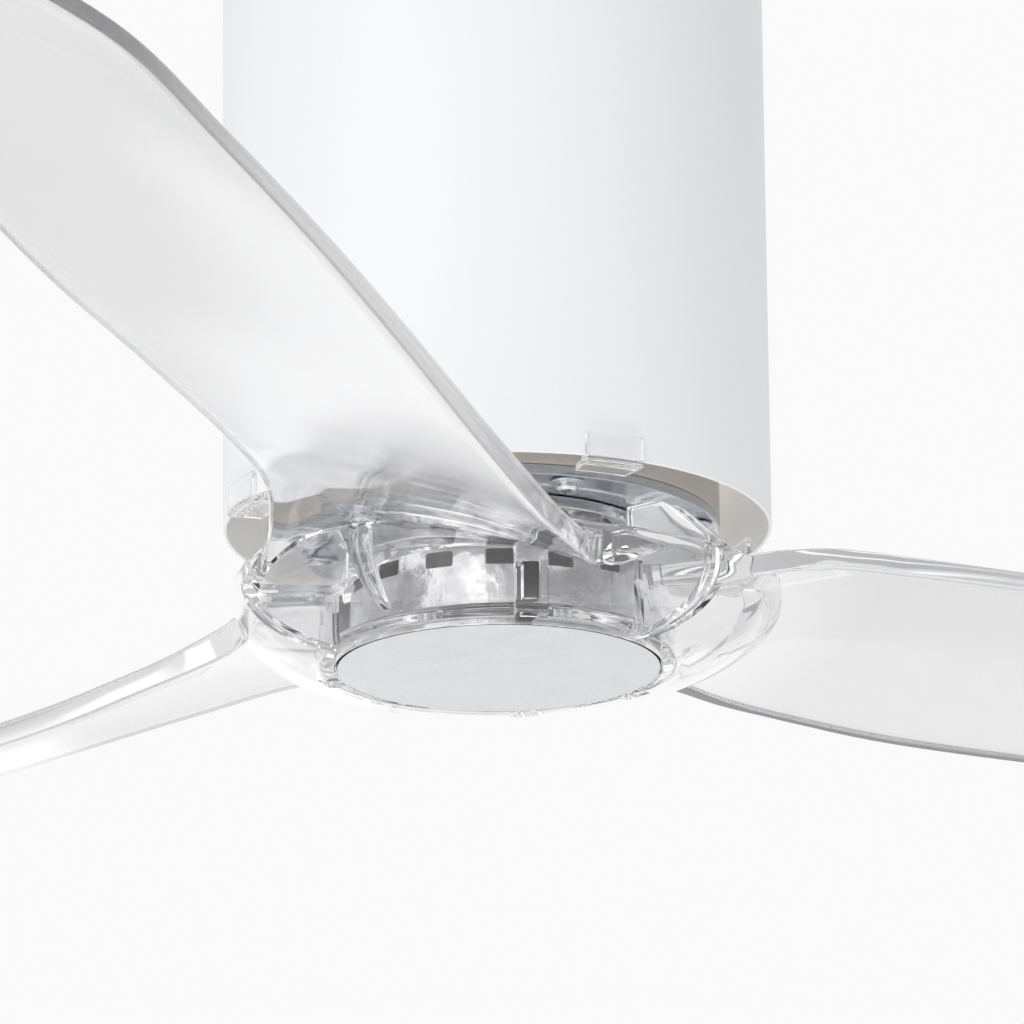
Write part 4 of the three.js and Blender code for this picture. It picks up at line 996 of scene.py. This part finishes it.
def hub_bowl():
    """The barrel's skin, the ring round the cap, the inner wall and the land for the screws."""
    inner_wall = HUB_INNER_RADIUS + HUB_SKIN
    seat = CAP_RADIUS + 0.5
    outline = rounded([
        (HUB_LAND_RADIUS, HUB_LAND_UNDERSIDE), (seat, HUB_LAND_UNDERSIDE), (seat, HUB_FLOOR),
        *barrel_side(0, BELLY_RADIUS, 24), (BELLY_RADIUS, HUB_BOWL_TOP, 1.0),
        (BELLY_RADIUS - HUB_SKIN, HUB_BOWL_TOP, 1.0),
        *reversed(barrel_side(HUB_SKIN, BELLY_RADIUS, 20)),
        (inner_wall, HUB_FLOOR + HUB_SKIN, 1.5), (inner_wall, HUB_INNER_TOP, 0.9),
        (HUB_INNER_RADIUS, HUB_INNER_TOP, 0.9), (HUB_INNER_RADIUS, HUB_LAND_TOP, 0.9),
        (HUB_LAND_RADIUS, HUB_LAND_TOP, 0.9),
    ], 0.6, steps=3)
    bowl = lathe("bowl", outline, segments=100, start=SEAM_LOW - 2, sweep=SEAM_HIGH - SEAM_LOW + 4)
    for vert in bowl.data.vertices:
        radius = math.hypot(vert.co.x, vert.co.y) / MM
        share = max(radius - LOBE_START, 0) / (BELLY_RADIUS - LOBE_START)
        swell = 1 + share * lobe_at(math.degrees(math.atan2(vert.co.y, vert.co.x))) / radius
        vert.co.x *= swell
        vert.co.y *= swell
    return bowl


def radial_plate(corners, thickness, degrees):
    """An upright plate of an outline in (distance from the axis, height), turned to an angle."""
    outline = rounded(corners, WALL_ROUND)
    shape = bmesh.new()
    sides = []
    for y in (-thickness / 2, thickness / 2):
        sides.append([shape.verts.new((r * MM, y * MM, (z + RIM) * MM)) for r, z in outline])
    count = len(outline)
    for i in range(count):
        j = (i + 1) % count
        shape.faces.new((sides[0][i], sides[0][j], sides[1][j], sides[1][i]))
    caps = [shape.faces.new(sides[0]), shape.faces.new(list(reversed(sides[1])))]
    bmesh.ops.recalc_face_normals(shape, faces=shape.faces)
    rim = {edge for face in caps for edge in face.edges}
    bmesh.ops.bevel(shape, geom=list(rim), offset=WALL_ROUND * MM, segments=3, profile=0.5,
                    affect="EDGES", clamp_overlap=True)
    turn = Matrix.Rotation(math.radians(degrees), 3, "Z")
    bmesh.ops.rotate(shape, verts=shape.verts, matrix=turn)
    return put_in_scene("plate", shape)


def end_wall(degrees):
    """A tall wall that closes one end of the moulding's share of the hub."""
    belly = BELLY_RADIUS + lobe_at(degrees)
    side = barrel_side(SUNK, belly, 18)
    root = HUB_INNER_RADIUS + 1
    return radial_plate([
        (root, side[0][1], 0), *side, (belly - SUNK, HUB_BOWL_TOP + 1, END_WALL_ROUND),
        (END_WALL_SHOULDER, END_WALL_TOP, END_WALL_ROUND), (root, END_WALL_TOP, 1.0),
    ], END_WALL_THICKNESS, degrees)


def crescent_rib():
    """A crescent rib inside the barrel's skin that stiffens the root of the paddle."""
    belly = BELLY_RADIUS + lobe_at(RIB_ANGLE) - SUNK
    side = barrel_side(SUNK, belly, 18)[3:]
    inner = belly - RIB_DEPTH
    start, end = Vector((inner, BELLY_HEIGHT)), Vector((side[0][0], side[0][1] + HUB_SKIN))
    pull = Vector((inner - RIB_DEPTH / 2, BELLY_HEIGHT - RIB_DEPTH))
    steps = [i / 8 for i in range(9)]
    sweep = [start * (1 - t) ** 2 + pull * 2 * t * (1 - t) + end * t * t for t in steps]
    return radial_plate([
        *side, (belly, RIB_TOP, RIB_ROUND), (inner, RIB_TOP, RIB_ROUND),
        *[(r, z, 0) for r, z in sweep],
    ], RIB_THICKNESS, RIB_ANGLE)


def slot_block():
    """The thick stretch of the inner wall that the slot for the rubber key is cut in."""
    shape = bmesh.new()
    half = SLOT_WIDTH / 2 + SLOT_RIB
    rounded_block(shape, [
        (HUB_INNER_RADIUS + 1, HUB_INNER_RADIUS + SLOT_DEPTH), (-half, half),
        (HUB_FLOOR + HUB_SKIN - 1, HUB_INNER_TOP),
    ], 0.8, SLOT_ANGLE)
    return put_in_scene("slot_block", shape)


def wedge():
    """The space of one moulding, between its two seams."""
    shape = bmesh.new()
    far, middle, half = 2.5 * BLADE_REACH, (SEAM_LOW + SEAM_HIGH) / 2, (SEAM_HIGH - SEAM_LOW) / 2
    shift = GAP / 2 / math.sin(math.radians(half))
    plan = [(shift, middle), (far, middle - half), (far, middle), (far, middle + half)]
    spots = [(r * math.cos(math.radians(a)), r * math.sin(math.radians(a))) for r, a in plan]
    low, high = [
        [shape.verts.new((x * MM, y * MM, (RIM + height) * MM)) for x, y in spots]
        for height in HUB_SPACE
    ]
    shape.faces.new(low)
    shape.faces.new(high)
    for i in range(4):
        j = (i + 1) % 4
        shape.faces.new((low[i], low[j], high[j], high[i]))
    bmesh.ops.recalc_face_normals(shape, faces=shape.faces)
    return put_in_scene("wedge", shape)


def round_bar(radius, low, high, x=0.0, y=0.0, segments=96):
    """An upright bar; heights count from the rim."""
    shape = bmesh.new()
    middle = Matrix.Translation((x * MM, y * MM, ((low + high) / 2 + RIM) * MM))
    bmesh.ops.create_cone(shape, cap_ends=True, segments=segments, radius1=radius * MM,
                          radius2=radius * MM, depth=(high - low) * MM, matrix=middle)
    return put_in_scene("bar", shape)


def clearer_towards_axis(material):
    """The paddle is greyer and softer than the polished hub, so both change near the axis."""
    tree = material.node_tree
    surface = tree.nodes["Principled BSDF"]
    colour = surface.inputs["Base Color"].links[0].from_socket
    polish = surface.inputs["Roughness"].links[0].from_socket
    flat = tree.nodes.new("ShaderNodeMapping")
    flat.inputs["Scale"].default_value = (1, 1, 0)
    distance = tree.nodes.new("ShaderNodeVectorMath")
    distance.operation = "LENGTH"
    masks = []
    for start, end in (HUB_COLOUR_SPAN, PADDLE_ROUGHNESS_SPAN):
        mask = tree.nodes.new("ShaderNodeMapRange")
        mask.inputs["From Min"].default_value = start * MM
        mask.inputs["From Max"].default_value = end * MM
        tree.links.new(distance.outputs["Value"], mask.inputs["Value"])
        masks.append(mask)
    tint = tree.nodes.new("ShaderNodeMix")
    tint.data_type = "RGBA"
    tint.inputs["A"].default_value = (*HUB_COLOUR, 1)
    soften = tree.nodes.new("ShaderNodeMix")
    soften.inputs["B"].default_value = PADDLE_ROUGHNESS
    join = tree.links.new
    join(tree.nodes["Texture Coordinate"].outputs["Object"], flat.inputs["Vector"])
    join(flat.outputs["Vector"], distance.inputs[0])
    join(masks[0].outputs["Result"], tint.inputs["Factor"])
    join(colour, tint.inputs["B"])
    join(tint.outputs["Result"], surface.inputs["Base Color"])
    join(masks[1].outputs["Result"], soften.inputs["Factor"])
    join(polish, soften.inputs["A"])
    join(soften.outputs["Result"], surface.inputs["Roughness"])


def darker_in_depth(material, loss):
    """Long ways through the plastic, as along an edge, lose light."""
    tree = material.node_tree
    absorption = tree.nodes.new("ShaderNodeVolumeAbsorption")
    absorption.inputs["Color"].default_value = (0.0, 0.0, 0.0, 1)
    absorption.inputs["Density"].default_value = loss
    tree.links.new(absorption.outputs["Volume"], tree.nodes["Material Output"].inputs["Volume"])


moulding = paddle()
subtract(moulding, round_bar(HUB_INNER_RADIUS, *HUB_SPACE))
end_walls = [end_wall(angle) for angle in END_WALL_ANGLES]
for solid in (hub_bowl(), *end_walls, crescent_rib(), slot_block()):
    combine(moulding, solid, "UNION")
combine(moulding, wedge(), "INTERSECT")
cutters = bmesh.new()
rounded_block(cutters, [
    (HUB_INNER_RADIUS - 3, HUB_INNER_RADIUS + SLOT_DEPTH + 1), (-SLOT_WIDTH / 2, SLOT_WIDTH / 2),
    (PAD_SPANS[2][0] - GAP, PAD_SPANS[2][1] + GAP),
], 0.6, SLOT_ANGLE)
subtract(moulding, put_in_scene("slot_cutter", cutters))
for angle in BLADE_SCREW_ANGLES:
    x = BLADE_SCREW_CIRCLE * math.cos(math.radians(angle))
    y = BLADE_SCREW_CIRCLE * math.sin(math.radians(angle))
    subtract(moulding, round_bar(
        BLADE_SCREW_HOLE, HUB_LAND_UNDERSIDE - 1.5, HUB_LAND_TOP + 2.5, x, y, 32))
    subtract(moulding, round_bar(BLADE_SCREW_SINK, HUB_FLOOR, BLADE_SINK_ROOF, x, y, 32))
smooth(moulding, 30)
clear = finish("clear_moulded_plastic", PADDLE_COLOUR, 0.03, 60, tone=0.012, uneven=0.025,
               bump=0.05, depth=0.1, transmission_weight=1.0, ior=1.49)
clearer_towards_axis(clear)
darker_in_depth(clear, LIGHT_LOSS)
for number in range(BLADE_COUNT):
    mesh = moulding.data.copy()
    mesh.transform(Matrix.Rotation(math.radians(from_front(BLADE_TURN + number * 120.0)), 4, "Z"))
    blade = bpy.data.objects.new(f"clear_blade_{number + 1}", mesh)
    scene.collection.objects.link(blade)
    mesh.materials.clear()
    mesh.materials.append(clear)
    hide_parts(f"blade_{number + 1}")
    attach(blade, "rotor")
bpy.data.objects.remove(moulding)

# ---- Blade screws --------------------------------------------------------------------------------
# Two pan-head screws under the cap clamp each root's land to the core. A pair is made and then
# repeated for the three blades.

BLADE_HEAD_RADIUS = 4.4
BLADE_HEAD_FLAT = 3.4
BLADE_HEAD_UNDERSIDE = -44.4
BLADE_HEAD_SHOULDER = -43.4
BLADE_HEAD_TOP = -42.4
BLADE_SHANK_TOP = -26.0
BLADE_CROSS = (1.1, 0.5, 2.0)

pair = screw("blade_screws", rounded([
    (0, BLADE_HEAD_UNDERSIDE), (BLADE_HEAD_FLAT, BLADE_HEAD_UNDERSIDE),
    (BLADE_HEAD_RADIUS, BLADE_HEAD_SHOULDER), (BLADE_HEAD_RADIUS, BLADE_HEAD_TOP),
    (SHANK_RADIUS, BLADE_HEAD_TOP), (SHANK_RADIUS, BLADE_SHANK_TOP), (0, BLADE_SHANK_TOP),
], 0.3, closed=False), BLADE_SCREW_CIRCLE, BLADE_CROSS)
shape = bmesh.new()
shape.from_mesh(pair.data)
pair_step = Matrix.Rotation(math.radians(BLADE_SCREW_ANGLES[1] - BLADE_SCREW_ANGLES[0]), 4, "Z")
copy = bmesh.ops.duplicate(shape, geom=shape.verts[:] + shape.edges[:] + shape.faces[:])["geom"]
copied_verts = [item for item in copy if isinstance(item, bmesh.types.BMVert)]
bmesh.ops.transform(shape, matrix=pair_step, verts=copied_verts)
shape.to_mesh(pair.data)
shape.free()
repeat_around(pair, BLADE_COUNT, from_front(BLADE_TURN + BLADE_SCREW_ANGLES[0]), head_steel)
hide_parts(*[f"blade_screw_{i + 1}" for i in range(2 * BLADE_COUNT)])
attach(pair, "rotor")

# ---- Cap disc ------------------------------------------------------------------------------------
# A satin disc that hides the screws, with a thin shadow gap round it. A skirt on its back springs
# into the core's bore. Its edge and back are black, a painted shade that keeps the gap dark.

CAP_THICKNESS = 1.8
SKIRT_RADIUS = 23.5
SKIRT_INSIDE = 21.5
SKIRT_HEIGHT = 9.0
# Past this depth the disc is black, a painted shade for the gap round it.
CAP_FACE_DEPTH = 0.25                   # satin down to here, and black from there

satin = finish("satin_cap", (0.66, 0.665, 0.675), 0.42, 1500, tone=0.22, uneven=0.1, bump=0.35,
               depth=0.05, metallic=0.25)
cap_back = HUB_FLOOR + CAP_THICKNESS
skirt_top = cap_back + SKIRT_HEIGHT
cap = lathe("satin_cap_disc", rounded([
    (0, HUB_FLOOR), (CAP_RADIUS, HUB_FLOOR, 0.7), (CAP_RADIUS, cap_back, 0.3),
    (SKIRT_RADIUS, cap_back), (SKIRT_RADIUS, skirt_top), (SKIRT_INSIDE, skirt_top),
    (SKIRT_INSIDE, cap_back), (0, cap_back),
], 0.3, closed=False), segments=192, closed=False)
smooth(cap)
cap.data.materials.append(satin)
# The black finish goes on the edge and back as painted shade for the gap.
cap.data.materials.append(rubber_and_gap_shade)
for face in cap.data.polygons:
    if face.center.z / MM > RIM + HUB_FLOOR + CAP_FACE_DEPTH:
        face.material_index = 1
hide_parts("cap_disc")
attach(cap, "rotor")
